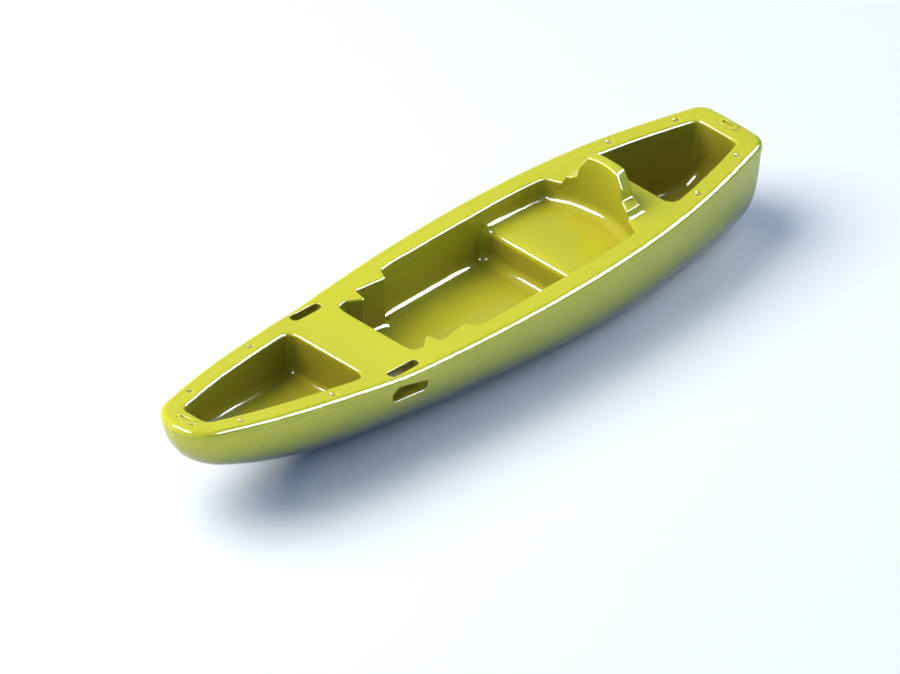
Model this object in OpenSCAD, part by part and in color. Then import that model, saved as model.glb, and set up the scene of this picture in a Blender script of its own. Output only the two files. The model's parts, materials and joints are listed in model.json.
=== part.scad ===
/* [Hull] */
// Overall length, bow end to stern end
hull_length = 2750; // [2600:10:2900]
// Height of the level deck above the flat of the bottom
deck_height = 345; // [330:1:360]
// Wall thickness of the lower moulding
hull_wall = 5; // [5:0.5:7]
// Depth of the hull and deck joint below the deck surface
seam_drop = 26; // [24:1:30]
// Rise of the keel under the bow fan
bow_rocker = 220; // [200:1:230]

/* [Deck] */
// Wall thickness of the deck moulding
deck_wall = 5; // [5:0.5:7]
// Radius of the gunwale edge
gunwale_r = 20; // [16:1:22]
// Slope of the bow deck, rise per unit of length
ramp_slope = 0.097; // [0.08:0.001:0.1]
// Where the bow deck starts to rise
ramp_start = 503; // [495:1:515]
// Distance from an end well's wall to the outer edge
rim_width = 82; // [78:1:86]

/* [Cockpit] */
// Height of the footwell floor
footwell_floor = 138; // [134:1:145]
// Height of the seat pan
seat_height = 264; // [258:1:270]
// Place of the seat's front riser along the hull
seat_front = -384; // [-390:1:-378]
// Plan radius of the backrest's hollowed front face
back_curve_r = 400; // [390:1:420]
// Height of the backrest's top edge
backrest_top = 488; // [470:1:495]
// Place of the backrest's rear face along the hull
backrest_rear = -762; // [-768:1:-758]

/* [Wells] */
// Height of the stern well's floor
stern_floor = 72; // [68:1:80]
// Height of the bow well's floor at its aft end
bow_floor = 190; // [185:1:196]

/* [Grips] */
// Length of each deck slot
slot_length = 138; // [130:1:144]
// Width of each deck slot
slot_width = 36; // [32:1:40]
// Place of the slots along the hull
slot_x = 489; // [480:1:498]
// Distance of each slot's middle from the centreline
slot_y = 238; // [236:1:240]
// Wall thickness of the grip cups
cup_wall = 4; // [3:0.5:5]

/* [Fixings] */
// Outer radius of a threaded insert
insert_r = 8; // [7:0.5:9]
// Thread bore radius of an insert
thread_r = 3.4; // [3:0.1:4]
// Length of an insert
insert_length = 18; // [16:1:20]
// Depth of the dimple above an insert
dimple_depth = 4; // [3:0.5:5]

/* [Drain] */
// Radius of the recess round the drain
recess_r = 30; // [28:1:32]
// Height of the drain's axis
drain_z = 262; // [250:1:270]
// Radius of the drain plug's shank
plug_r = 11; // [10:0.5:12]

/* [Hidden] */
$fn = 48;

hull_yellow = [0.80, 0.78, 0.12];
deck_yellow = [0.85, 0.83, 0.15];
foam_white = [0.92, 0.92, 0.90];
brass = [0.72, 0.58, 0.28];
black = [0.08, 0.08, 0.09];

half_length = hull_length / 2;
bow_corner_r = 90;
stern_corner_r = 48;
ramp_blend = 52;
end_crown = 3;
ramp_angle = atan(ramp_slope);
gap = 0.3;

// Half beam of the gunwale at stations along the hull, stern to bow
beam_stations = [[-1375, 153], [-1270, 186], [-1065, 243], [-860, 285], [-600, 315], [-290, 328],
                 [75, 319], [490, 285], [830, 237], [1060, 193], [1290, 132], [1375, 106]];
// Fullness of the cross-sections: 1 is a plain V, 2 an ellipse, and larger is squarer
fullness_stations = [[-1375, 4.2], [-1100, 3.0], [-500, 3.05], [140, 2.2], [490, 1.85], [800, 1.85], [1375, 1.95]];
bow_spine = 680;
bow_fan = 0.76;
stern_spine = 1100;
stern_fan = 0.3;
stern_rake = 0.15;
rocker_start = 120;
rocker_power = 2.9;
bottom_angle = 80;

// ---------------------------------------------------------------- shape rules
function unit(v) = v / norm(v);
function span(t, x, i = 0) = (i >= len(t) - 2 || x <= t[i + 1][0]) ? i : span(t, x, i + 1);
function slope_at(t, i) =
    let (a = max(i - 1, 0), b = min(i + 1, len(t) - 1)) (t[b][1] - t[a][1]) / (t[b][0] - t[a][0]);
// Smooth curve through the stations of a table
function smooth(t, x) =
    let (i = span(t, x), h = t[i + 1][0] - t[i][0], u = (x - t[i][0]) / h,
         m0 = slope_at(t, i) * h, m1 = slope_at(t, i + 1) * h)
    (2 * pow(u, 3) - 3 * pow(u, 2) + 1) * t[i][1] + (pow(u, 3) - 2 * pow(u, 2) + u) * m0
    + (3 * pow(u, 2) - 2 * pow(u, 3)) * t[i + 1][1] + (pow(u, 3) - pow(u, 2)) * m1;

function half_beam(x) = smooth(beam_stations, x);
function fullness(x) = smooth(fullness_stations, x);
function deck_top(x) =
    let (d = x - ramp_start)
    deck_height + ramp_slope * (d > ramp_blend ? d
                                : d < -ramp_blend ? 0 : pow(d + ramp_blend, 2) / (4 * ramp_blend));
function spine_x(x) = x > bow_spine ? bow_spine + (x - bow_spine) * bow_fan
                    : x < -stern_spine ? -stern_spine + (x + stern_spine) * stern_fan : x;
function keel_z(x) =
    let (reach = bow_spine + (half_length - bow_spine) * bow_fan - rocker_start)
    bow_rocker * pow(max(x - rocker_start, 0) / reach, rocker_power);

// Closed plan outline: bow middle, port side, stern middle, starboard side
side_steps = 25;
function corner(side, r, angles) =
    [for (a = angles) let (x = side * (half_length - end_crown - r * (1 - cos(a))))
        [x, half_beam(x) - r * (1 - sin(a))]];
half_outline = let (
    bow = corner(1, bow_corner_r, [0:18:90]),
    stern = corner(-1, stern_corner_r, [90:-18:0]),
    mid = half_length - end_crown / 4,
    x0 = half_length - end_crown - bow_corner_r, x1 = -half_length + end_crown + stern_corner_r)
    concat([[half_length, 0], [mid, bow[0].y / 2]], bow,
           [for (i = [1:side_steps - 1]) let (x = x0 + (x1 - x0) * i / side_steps) [x, half_beam(x)]],
           stern, [[-mid, stern[5].y / 2], [-half_length, 0]]);
outline = concat(half_outline,
                 [for (i = [len(half_outline) - 2:-1:1]) [half_outline[i].x, -half_outline[i].y]]);
ring_n = len(outline);

// Moves each corner of a closed outline inwards, or outwards where d is negative
function inset(p, d) = [for (i = [0:len(p) - 1])
    let (a = p[(i + len(p) - 1) % len(p)], b = p[i], c = p[(i + 1) % len(p)],
         u = unit(b - a), v = unit(c - b), m = [-u.y, u.x], n = [-v.y, v.x])
    b + d * (m + n) / (1 + m * n)];

// Rounds corner b between a and c
function fillet(a, b, c, r) =
    let (u = unit(a - b), v = unit(c - b), h = acos(u * v) / 2, mid = b + unit(u + v) * r / sin(h),
         p = b + u * r / tan(h) - mid, q = b + v * r / tan(h) - mid,
         start = atan2(p.y, p.x), turn = atan2(p.x * q.y - p.y * q.x, p * q))
    [for (j = [0:5]) mid + r * [cos(start + turn * j / 5), sin(start + turn * j / 5)]];
// Outline of [x, y, corner radius] vertices
function rounded(v) = [for (i = [0:len(v) - 1])
    let (a = v[(i + len(v) - 1) % len(v)], b = v[i], c = v[(i + 1) % len(v)])
    each (b[2] > 0 ? fillet([a.x, a.y], [b.x, b.y], [c.x, c.y], b[2]) : [[b.x, b.y]])];
// Port half of a list of vertices, mirrored to starboard
function both_sides(v) = concat(v, [for (i = [len(v) - 1:-1:0]) [v[i].x, -v[i].y, v[i][2]]]);

function deck_ring(d, drop) = [for (p = inset(outline, d)) [p.x, p.y, deck_top(p.x) - drop]];
// Ring of the hull at angle a round its section: 0 is the joint with the deck
function hull_ring(d, a) = [for (p = inset(outline, d))
    let (k = spine_x(p.x), n = fullness(p.x), full = deck_top(p.x) - keel_z(k) - d,
         g = a > 0 ? pow(sin(a) / sin(bottom_angle), 2 / n) : (seam_drop + gap / 2) / full,
         f = a > 0 ? pow(cos(a), 2 / n) : pow(1 - pow(g, n), 1 / n),
         astern = max(0, -stern_spine - p.x) / (half_length - stern_spine),
         w = f * (1 - stern_rake * g * astern))
    [k + (p.x - k) * w, p.y * w, deck_top(p.x) - full * g]];

// Skins a stack of rings, with both ends closed by strips from side to side
module skin(rings) {
    n = ring_n;
    h = n / 2;
    last = (len(rings) - 1) * n;
    sides = [for (k = [0:len(rings) - 2], i = [0:n - 1])
        let (a = k * n + i, b = k * n + (i + 1) % n, c = b + n, d = a + n) each [[a, b, c], [a, c, d]]];
    top = [for (i = [1:h - 2]) each [[i, n - i, n - i - 1], [i, n - i - 1, i + 1]]];
    ends = [[0, n - 1, 1], [h - 1, h + 1, h]];
    bottom = [for (f = concat(top, ends)) [last + f[2], last + f[1], last + f[0]]];
    polyhedron(points = [for (r = rings) each r], faces = concat(sides, top, ends, bottom));
}

// ---------------------------------------------------------------- outlines
well_front = 1265;
well_aft = 620;
bow_well = rounded(both_sides([
    for (v = [[well_front, 30], [1180, 0], [1060, 0], [945, 0], [830, 0], [715, 0], [well_aft, 34]])
        [v[0], half_beam(v[0]) - rim_width, v[1]]]));
stern_well_front = -867;
stern_well_aft = -1284;
stern_well = rounded(both_sides([
    for (v = [[stern_well_front, 34], [-960, 0], [-1065, 0], [-1180, 0], [stern_well_aft, 30]])
        [v[0], half_beam(v[0]) - rim_width - 4, v[1]]]));

back_centre = -721 + back_curve_r;
function back_x(y) = back_centre - sqrt(pow(back_curve_r, 2) - pow(y, 2));
// Port half of the cockpit wall: front wall, two foot steps, straight side, hollowed back
cockpit_half = [[383, 150, 14], [365, 181, 14], [342, 185, 9], [281, 138, 8], [268, 203, 10],
                [139, 189, 8], [125, 229, 14], [75, 239, 0], [-200, 240, 0], [-467, 238, 0],
                [-600, 230, 0], [-662, 222, 22], [back_x(186), 186, 0],
                [back_x(150), 150, 0], [back_x(105), 105, 0], [back_x(60), 60, 0],
                [back_x(20), 20, 0]];
cockpit = rounded(both_sides(cockpit_half));

module plan(outline_points, z0 = 0, z1 = 620) {
    translate([0, 0, z0]) linear_extrude(height = z1 - z0) polygon(outline_points);
}
// Extrudes an outline drawn in length and height across the whole beam
module across(points) {
    rotate([90, 0, 0]) linear_extrude(height = 800, center = true) polygon(points);
}

// Floor lines in length and height; d lowers and widens them to the moulding's outer side
function bow_floor_line(d) = [[well_aft - 30, bow_floor - d], [740, bow_floor + 6 - d],
    [870, bow_floor + 24 - d], [1075, bow_floor + 62 - d], [1230, bow_floor + 98 - d],
    [well_front + d, bow_floor + 125 - d], [1300 + d, 620], [well_aft - 30, 620]];
function cockpit_floor_line(d) = [[430, footwell_floor - d], [430, 620], [-780, 620],
    [-780, seat_height + 4 - d], [-640, seat_height - 2 - d], [seat_front - 20 - d, seat_height - d],
    [seat_front - d, seat_height - 14 - d], [seat_front - d, footwell_floor - d]];
stern_curve_r = 130;
function stern_floor_line(d) = concat([[-820, stern_floor - d], [-820, 620], [-1320, 620],
    [stern_well_aft - d, stern_floor + stern_curve_r]],
    [for (a = [15:15:90]) let (r = stern_curve_r + d)
        [stern_well_aft + stern_curve_r - r * cos(a), stern_floor + stern_curve_r - r * sin(a)]]);

// ---------------------------------------------------------------- mouldings
module hull_solid(d, top) {
    rings = [for (a = [0, 20, 31, 42, 53, 63, 72, bottom_angle]) hull_ring(d, a)];
    skin(top > 0 ? concat([deck_ring(d, seam_drop - top)], rings) : rings);
}

// Side opening of a grip, drawn in length and height
side_opening = [[slot_x + 76, 278], [slot_x + 62, 243], [slot_x - 70, 241], [slot_x - 76, 252],
                [slot_x - 74, 282], [slot_x + 58, 312]];
module side_openings(d = 0) {
    for (s = [-1, 1])
        translate([0, s * 270, 0]) rotate([90, 0, 0])
            linear_extrude(height = 130, center = true) polygon(inset(side_opening, -d));
}

drain_face = -half_length + 20;
module drain_axis(x) { translate([x, 0, drain_z]) rotate([0, -90, 0]) children(); }

module hull_shell() {
    color(hull_yellow) difference() {
        hull_solid(0, 0);
        difference() {
            hull_solid(hull_wall, 12);
            drain_axis(drain_face + hull_wall) cylinder(r = recess_r + hull_wall, h = 40);
        }
        drain_axis(drain_face) cylinder(r = recess_r, h = 60);
        drain_axis(drain_face + 20) cylinder(r = 15, h = 60);
        side_openings();
    }
}

module deck_cap() {
    arc = [0:18:90];
    outer = [for (a = arc) deck_ring(gunwale_r * (1 - sin(a)), gunwale_r * (1 - cos(a)))];
    inner_r = gunwale_r - deck_wall;
    inner = [for (a = arc) deck_ring(deck_wall + inner_r * (1 - sin(a)),
                                     deck_wall + inner_r * (1 - cos(a)))];
    skin(concat(outer, [deck_ring(0, seam_drop), deck_ring(deck_wall, seam_drop)],
                [for (i = [len(inner) - 1:-1:0]) inner[i]]));
}

// Moulded back panel, drawn across and up: shoulder, side, chamfer and slightly crowned top
function back_profile(d) = [[-166 + d, 300], [166 - d, 300], [166 - d, 347], [145 - d, 372 - d],
    [108 - d, 390 - d], [105 - d, 428], [70 - d / 2, 482 - d], [35, backrest_top - 1 - d],
    [-35, backrest_top - 1 - d], [-70 + d / 2, 482 - d], [-105 + d, 428], [-108 + d, 390 - d],
    [-145 + d, 372 - d], [-166 + d, 347]];
module back_block(d) {
    translate([backrest_rear + d, 0, 0]) rotate([90, 0, 90])
        linear_extrude(height = 92 - d) polygon(back_profile(d));
}

boss_length = 86;
boss_width = 31;
boss_height = 5;
bow_boss_x = 1313;
stern_boss_x = -1336;
module stadium(length, width, z0, z1) {
    for (s = [-1, 1])
        translate([0, s * (length - width) / 2, z0]) cylinder(d = width, h = z1 - z0);
    translate([-width / 2, (width - length) / 2, z0]) cube([width, length - width, z1 - z0]);
}
// Places its children on the deck, square to it
module on_deck(x, y) {
    translate([x, y, deck_top(x)]) rotate([0, x > ramp_start + ramp_blend ? -ramp_angle : 0, 0])
        children();
}
module bosses(length, width, z0, z1) {
    for (x = [bow_boss_x, stern_boss_x]) on_deck(x, 0) stadium(length, width, z0, z1);
}

bow_fixings = [[1163, 126], [793, 202]];
stern_fixings = [[-975, 219], [-1232, 150]];
module at_fixings(places) {
    for (p = places, s = [-1, 1]) on_deck(p.x, s * p.y) children();
}
boss_depth = dimple_depth + insert_length + 3;

module deck_shell() {
    color(deck_yellow) difference() {
        union() {
            deck_cap();
            intersection() {
                union() {
                    intersection() { plan(inset(bow_well, -deck_wall)); across(bow_floor_line(deck_wall)); }
                    intersection() { plan(inset(cockpit, -deck_wall)); across(cockpit_floor_line(deck_wall)); }
                    intersection() { plan(inset(stern_well, -deck_wall)); across(stern_floor_line(deck_wall)); }
                }
                across([[-1360, 0], [1360, 0], [1360, deck_top(1360) - 3], [ramp_start + ramp_blend,
                        deck_top(ramp_start + ramp_blend) - 3], [ramp_start, deck_height - 2],
                        [ramp_start - ramp_blend, deck_height - 3], [-1360, deck_height - 3]]);
            }
            back_block(0);
            bosses(boss_length, boss_width, -3, boss_height);
            at_fixings(concat(bow_fixings, stern_fixings))
                translate([0, 0, -boss_depth]) cylinder(r = insert_r + 6, h = boss_depth - 2);
        }
        difference() {
            back_block(deck_wall);
            plan(inset(cockpit, -deck_wall));
        }
        intersection() { plan(bow_well); across(bow_floor_line(0)); }
        intersection() { plan(cockpit); across(cockpit_floor_line(0)); }
        intersection() { plan(stern_well); across(stern_floor_line(0)); }
        for (s = [-1, 1]) translate([slot_x, s * slot_y, 0]) rotate([0, 0, 90])
            stadium(slot_length, slot_width, 250, 400);
        bosses(50, 14, -1, 10);
        at_fixings(concat(bow_fixings, stern_fixings)) {
            translate([0, 0, -dimple_depth])
                cylinder(r1 = insert_r, r2 = 15, h = dimple_depth + 0.01);
            translate([0, 0, -dimple_depth - insert_length]) cylinder(r = insert_r, h = insert_length);
        }
    }
}

// Inner lap strip bonded behind the joint of the two mouldings, with a gap at each grip cup
module seam_strip() {
    lap = 12;
    thick = 3;
    taper = 6;
    wall = hull_wall + gap;
    section = [[wall, seam_drop - 5], [wall, seam_drop - 1], [wall + 3, seam_drop],
               [wall + taper, seam_drop + lap], [wall + taper + thick, seam_drop + lap],
               [wall + 3 + thick, seam_drop - 5]];
    rings = [for (c = section) deck_ring(c[0], c[1])];
    n = ring_n;
    m = len(rings);
    color(black) difference() {
        polyhedron(points = [for (r = rings) each r],
            faces = [for (k = [0:m - 1], i = [0:n - 1])
                let (a = k * n + i, b = k * n + (i + 1) % n, c = ((k + 1) % m) * n + (i + 1) % n,
                     d = ((k + 1) % m) * n + i) each [[a, b, c], [a, c, d]]]);
        translate([slot_x - 86, -400, 200]) cube([172, 800, 200]);
    }
}

// Liner that joins a deck slot to its side opening: a tube down from the slot, then outwards
module grip_cup(s) {
    cup_bottom = 232;
    cup_inner = slot_y - slot_width / 2 - 4;
    cup_outer = 290;
    color(deck_yellow) difference() {
        intersection() {
            translate([slot_x - 84, s > 0 ? cup_inner : -cup_outer, cup_bottom])
                cube([168, cup_outer - cup_inner, deck_height - deck_wall - 0.5 - cup_bottom]);
            union() {
                hull_solid(hull_wall + gap, 5);
                hull_solid(gunwale_r + gap, 22);
            }
        }
        intersection() {
            translate([slot_x - 80, s > 0 ? cup_inner + cup_wall : -cup_outer - 20, cup_bottom])
                cube([160, cup_outer + 20 - cup_inner - cup_wall, 90]);
            translate([0, s * 270, 0]) rotate([90, 0, 0])
                linear_extrude(height = 140, center = true) polygon(side_opening);
        }
        translate([slot_x, s * slot_y, 0]) rotate([0, 0, 90])
            stadium(slot_length, slot_width, 262, 400);
    }
}
module port_grip_cup() { grip_cup(1); }
module starboard_grip_cup() { grip_cup(-1); }

module threaded_insert() {
    translate([0, 0, -dimple_depth - insert_length]) difference() {
        cylinder(r = insert_r, h = insert_length);
        translate([0, 0, 3]) cylinder(r = thread_r, h = insert_length);
    }
}
module bow_inserts() { color(brass) at_fixings(bow_fixings) threaded_insert(); }
module stern_inserts() { color(brass) at_fixings(stern_fixings) threaded_insert(); }

// ---------------------------------------------------------------- buoyancy foam
module foam_block(x0, x1, half_y, z0, z1) {
    color(foam_white) translate([x0, -half_y, z0]) cube([x1 - x0, 2 * half_y, z1 - z0]);
}
module bow_foam() { foam_block(640, 860, 90, 104, 178); }
module footwell_foam() {
    foam_block(-340, 40, 130, 25, footwell_floor - deck_wall - 2);
    foam_block(60, 330, 110, 36, footwell_floor - deck_wall - 2);
}
module seat_foam() { foam_block(-640, seat_front - 30, 150, 24, seat_height - deck_wall - 6); }
module stern_foam() { foam_block(-1140, -870, 105, 26, stern_floor - deck_wall - 2); }
module side_foam(s) {
    color(foam_white) translate([-420, s > 0 ? 258 : -284, 200]) cube([540, 26, 115]);
}
module port_side_foam() { side_foam(1); }
module starboard_side_foam() { side_foam(-1); }

// ---------------------------------------------------------------- stern drain
flange_r = 24;
flange_h = 3;
bush_r = 14.5;
bush_length = 26;
module drain_gasket() {
    color(black) drain_axis(drain_face) difference() {
        cylinder(r = flange_r - 1, h = 1.5);
        translate([0, 0, -1]) cylinder(r = bush_r + 0.3, h = 4);
    }
}
module drain_bush() {
    color(black) drain_axis(drain_face - 1.5) difference() {
        union() {
            cylinder(r = flange_r, h = flange_h);
            translate([0, 0, -bush_length]) cylinder(r = bush_r, h = bush_length + 1);
        }
        translate([0, 0, -bush_length - 1]) cylinder(r = plug_r + gap, h = bush_length + 10);
    }
}
module drain_nut() {
    color(black) drain_axis(drain_face + hull_wall + 8.5) difference() {
        cylinder(r = 21, h = 8, $fn = 6);
        translate([0, 0, -1]) cylinder(r = bush_r + 0.05, h = 10);
    }
}
seal_z = 1.5 + flange_h + gap;
module drain_seal() {
    color(black) drain_axis(drain_face - seal_z) difference() {
        cylinder(r = 16, h = 2);
        translate([0, 0, -1]) cylinder(r = plug_r + gap, h = 4);
    }
}
module drain_plug() {
    color(black) drain_axis(drain_face - seal_z - 2 - gap) {
        cylinder(r = 18, h = 3.5);
        translate([0, 0, 3]) intersection() {
            translate([-15, -3, 0]) cube([30, 6, 7]);
            cylinder(r = 15, h = 7);
        }
        translate([0, 0, -22]) cylinder(r = plug_r, h = 22.5);
    }
}

hull_shell();
deck_shell();
seam_strip();
port_grip_cup();
starboard_grip_cup();
bow_inserts();
stern_inserts();
bow_foam();
footwell_foam();
seat_foam();
stern_foam();
port_side_foam();
starboard_side_foam();
drain_bush();
drain_gasket();
drain_nut();
drain_seal();
drain_plug();
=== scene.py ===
"""A recreational kayak, moulded as two skins that meet at a seam, with grips, inserts, foam and a drain.

Sizes in the classes are in millimetres, and become metres when a piece is made.
"""

import json
import logging
import math
from collections.abc import Callable, Sequence
from dataclasses import dataclass, field
from enum import Enum

import bmesh
import bpy
import numpy as np
from mathutils import Matrix, Vector
from mathutils.geometry import delaunay_2d_cdt

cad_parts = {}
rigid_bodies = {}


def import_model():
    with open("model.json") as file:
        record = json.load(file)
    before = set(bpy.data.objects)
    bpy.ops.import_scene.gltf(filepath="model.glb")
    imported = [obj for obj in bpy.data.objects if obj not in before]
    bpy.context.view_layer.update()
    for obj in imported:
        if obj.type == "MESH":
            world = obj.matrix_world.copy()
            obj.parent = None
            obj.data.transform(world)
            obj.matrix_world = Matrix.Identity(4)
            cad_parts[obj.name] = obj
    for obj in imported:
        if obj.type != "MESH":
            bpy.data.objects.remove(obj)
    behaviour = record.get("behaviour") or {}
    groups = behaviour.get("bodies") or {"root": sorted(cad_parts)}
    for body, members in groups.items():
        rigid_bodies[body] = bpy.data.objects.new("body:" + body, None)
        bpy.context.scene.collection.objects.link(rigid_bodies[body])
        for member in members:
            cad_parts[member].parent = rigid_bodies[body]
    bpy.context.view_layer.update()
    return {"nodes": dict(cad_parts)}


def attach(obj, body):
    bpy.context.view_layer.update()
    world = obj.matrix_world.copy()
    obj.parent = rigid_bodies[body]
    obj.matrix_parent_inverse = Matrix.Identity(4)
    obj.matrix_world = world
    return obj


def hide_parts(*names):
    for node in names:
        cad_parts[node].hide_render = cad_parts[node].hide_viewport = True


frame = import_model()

log = logging.getLogger("kayak")

MM = 0.001
UP = Vector((0.0, 0.0, 1.0))
PORT = Vector((0.0, 1.0, 0.0))
Plan = tuple[float, float]
Loop = list[Plan]


class Slot(Enum):
    """Finishes of the part's record that a piece can take."""

    HULL = "hull_plastic"
    DECK = "deck_plastic"
    SEAM = "seam_plastic"
    BRASS = "insert_brass"
    FOAM = "buoyancy_foam"
    FITTING = "fitting_black"
    RUBBER = "seal_rubber"


class Body(Enum):
    """Bodies of the part that a piece can ride on."""

    HULL = "hull"
    SEAL = "drain_seal"
    PLUG = "drain_plug"


# ---------------------------------------------------------------- plane geometry
def lerp(a: float, b: float, t: float) -> float:
    """Returns the value a share t of the way from a to b."""
    return a + (b - a) * t


def smooth(stations: Sequence[Plan], x: float) -> float:
    """Reads a smooth curve through stations.

    Args:
        stations: Places and values, in rising order of place.
        x: The place to read at.

    Returns:
        The curve's value at x.
    """
    last = len(stations) - 1
    i = next((k for k in range(last - 1) if x <= stations[k + 1][0]), last - 1)
    (x0, y0), (x1, y1) = stations[i], stations[i + 1]
    h = x1 - x0
    u = (x - x0) / h

    def slope(k: int) -> float:
        """Returns the slope of the curve at station k."""
        (ax, ay), (bx, by) = stations[max(k - 1, 0)], stations[min(k + 1, last)]
        return (by - ay) / (bx - ax)

    m0, m1 = slope(i) * h, slope(i + 1) * h
    return (
        (2 * u**3 - 3 * u**2 + 1) * y0
        + (u**3 - 2 * u**2 + u) * m0
        + (3 * u**2 - 2 * u**3) * y1
        + (u**3 - u**2) * m1
    )


def ease(t: float) -> float:
    """Returns a smooth step from 0 to 1 as t goes from 0 to 1."""
    t = min(max(t, 0.0), 1.0)
    return t * t * (3 - 2 * t)


def signed_area(loop: Sequence[Plan]) -> float:
    """Returns the area of a closed loop, positive when it runs anticlockwise."""
    p = np.array(loop, float)
    q = np.roll(p, -1, 0)
    return float((p[:, 0] * q[:, 1] - q[:, 0] * p[:, 1]).sum() / 2)


def inward(loop: Sequence[Plan]) -> np.ndarray:
    """Returns one vector for each corner of a closed loop that moves it inwards by one unit."""
    p = np.array(loop, float)
    ahead = np.roll(p, -1, 0) - p
    ahead /= np.linalg.norm(ahead, axis=1)[:, None]
    side = 1 if signed_area(loop) > 0 else -1
    normal = side * np.stack([-ahead[:, 1], ahead[:, 0]], 1)
    behind = np.roll(normal, 1, 0)
    scale = np.maximum(1 + (normal * behind).sum(1), 0.5)
    return (normal + behind) / scale[:, None]


def gap_to(points: np.ndarray, loops: Sequence[np.ndarray]) -> np.ndarray:
    """Returns the distance from each point to the nearest edge of some closed loops."""
    a = np.concatenate(loops)
    b = np.concatenate([np.roll(loop, -1, 0) for loop in loops])
    edge = b - a
    size = np.maximum((edge**2).sum(1), 1e-12)
    near = np.empty(len(points))
    for k, p in enumerate(points):
        t = np.clip(((p - a) * edge).sum(1) / size, 0, 1)
        near[k] = np.sqrt((((a + edge * t[:, None]) - p) ** 2).sum(1).min())
    return near


def inside(points: np.ndarray, loop: np.ndarray) -> np.ndarray:
    """Says which points lie inside a closed loop."""
    x, y = points[:, 0], points[:, 1]
    odd = np.zeros(len(points), bool)
    for (ax, ay), (bx, by) in zip(loop, np.roll(loop, -1, 0)):
        if ay != by:
            odd ^= ((ay > y) != (by > y)) & (x < (bx - ax) * (y - ay) / (by - ay) + ax)
    return odd


def room(loop: Sequence[Plan], direction: np.ndarray, limit: float) -> np.ndarray:
    """Finds how far each corner of a loop can move before another stretch is as near.

    Args:
        loop: The closed loop.
        direction: The way that each corner moves, for one unit of offset.
        limit: The most that is wanted.

    Returns:
        An offset for each corner, eased along the loop.
    """
    p = np.array(loop, float)
    steps = 12
    free = np.full(len(p), limit / steps / 2)
    alive = np.ones(len(p), bool)
    for k in range(1, steps + 1):
        reach = limit * k / steps
        alive &= gap_to(p + direction * reach, [p]) > 0.93 * reach
        free[alive] = reach
    low = np.minimum.reduce([np.roll(free, s) for s in (-1, 0, 1)])
    return np.minimum(free, sum(np.roll(low, s) for s in range(-2, 3)) / 5)


def rounded(corners: Sequence[tuple[float, float, float]], steps: int = 4) -> Loop:
    """Rounds the corners of a closed outline.

    Args:
        corners: Each corner's place and radius; a radius of 0 keeps it sharp.
        steps: How many edges make each arc.

    Returns:
        The outline with an arc at each rounded corner.
    """
    loop: Loop = []
    for i, (x, y, r) in enumerate(corners):
        here = Vector((x, y))
        if r == 0:
            loop.append((x, y))
            continue
        u = (Vector(corners[i - 1][:2]) - here).normalized()
        v = (Vector(corners[(i + 1) % len(corners)][:2]) - here).normalized()
        half = u.angle(v) / 2
        middle = here + (u + v).normalized() * (r / math.sin(half))
        p, q = here + u * (r / math.tan(half)) - middle, here + v * (r / math.tan(half)) - middle
        start = math.atan2(p.y, p.x)
        turn = math.atan2(p.x * q.y - p.y * q.x, p.dot(q))
        for j in range(steps + 1):
            a = start + turn * j / steps
            loop.append((middle.x + r * math.cos(a), middle.y + r * math.sin(a)))
    return loop


def both_sides(half: Sequence[tuple[float, ...]]) -> list[tuple[float, ...]]:
    """Returns a port half outline followed by its mirror image to starboard."""
    return [*half, *((v[0], -v[1], *v[2:]) for v in reversed(half))]


def spaced(line: Sequence[Plan], spacing: float, closed: bool = True) -> Loop:
    """Splits the long edges of a loop, or of an open line, so that none is longer than the spacing."""
    out: Loop = []
    for a, b in zip(line, [*line[1:], line[0]] if closed else line[1:]):
        pieces = max(1, math.ceil(math.dist(a, b) / spacing))
        out += [(lerp(a[0], b[0], k / pieces), lerp(a[1], b[1], k / pieces)) for k in range(pieces)]
    return out if closed else [*out, line[-1]]


def quarter(steps: int) -> list[float]:
    """Returns angles from 0 to a right angle, in equal steps."""
    return [math.pi / 2 * k / steps for k in range(steps + 1)]


def stadium(length: float, width: float, arc: int = 8, straight: int = 4) -> Loop:
    """Returns a round-ended slot along the first axis, about its own middle."""
    r, run = width / 2, (length - width) / 2
    loop: Loop = []
    for side in (1, -1):
        for k in range(arc + 1):
            a = math.pi * (k / arc - 0.5)
            loop.append((side * (run + r * math.cos(a)), side * r * math.sin(a)))
        loop += [(side * lerp(run, -run, k / straight), side * r) for k in range(1, straight)]
    return loop


def circle(radius: float, sides: int = 20) -> Loop:
    """Returns a circle about the origin as a closed loop."""
    turn = 2 * math.pi / sides
    return [(radius * math.cos(turn * k), radius * math.sin(turn * k)) for k in range(sides)]


# ---------------------------------------------------------------- cages
@dataclass
class Ring:
    """A closed run of cage points, with the places they take on the flat between rings."""

    ids: list[int]
    flat: Loop


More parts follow.
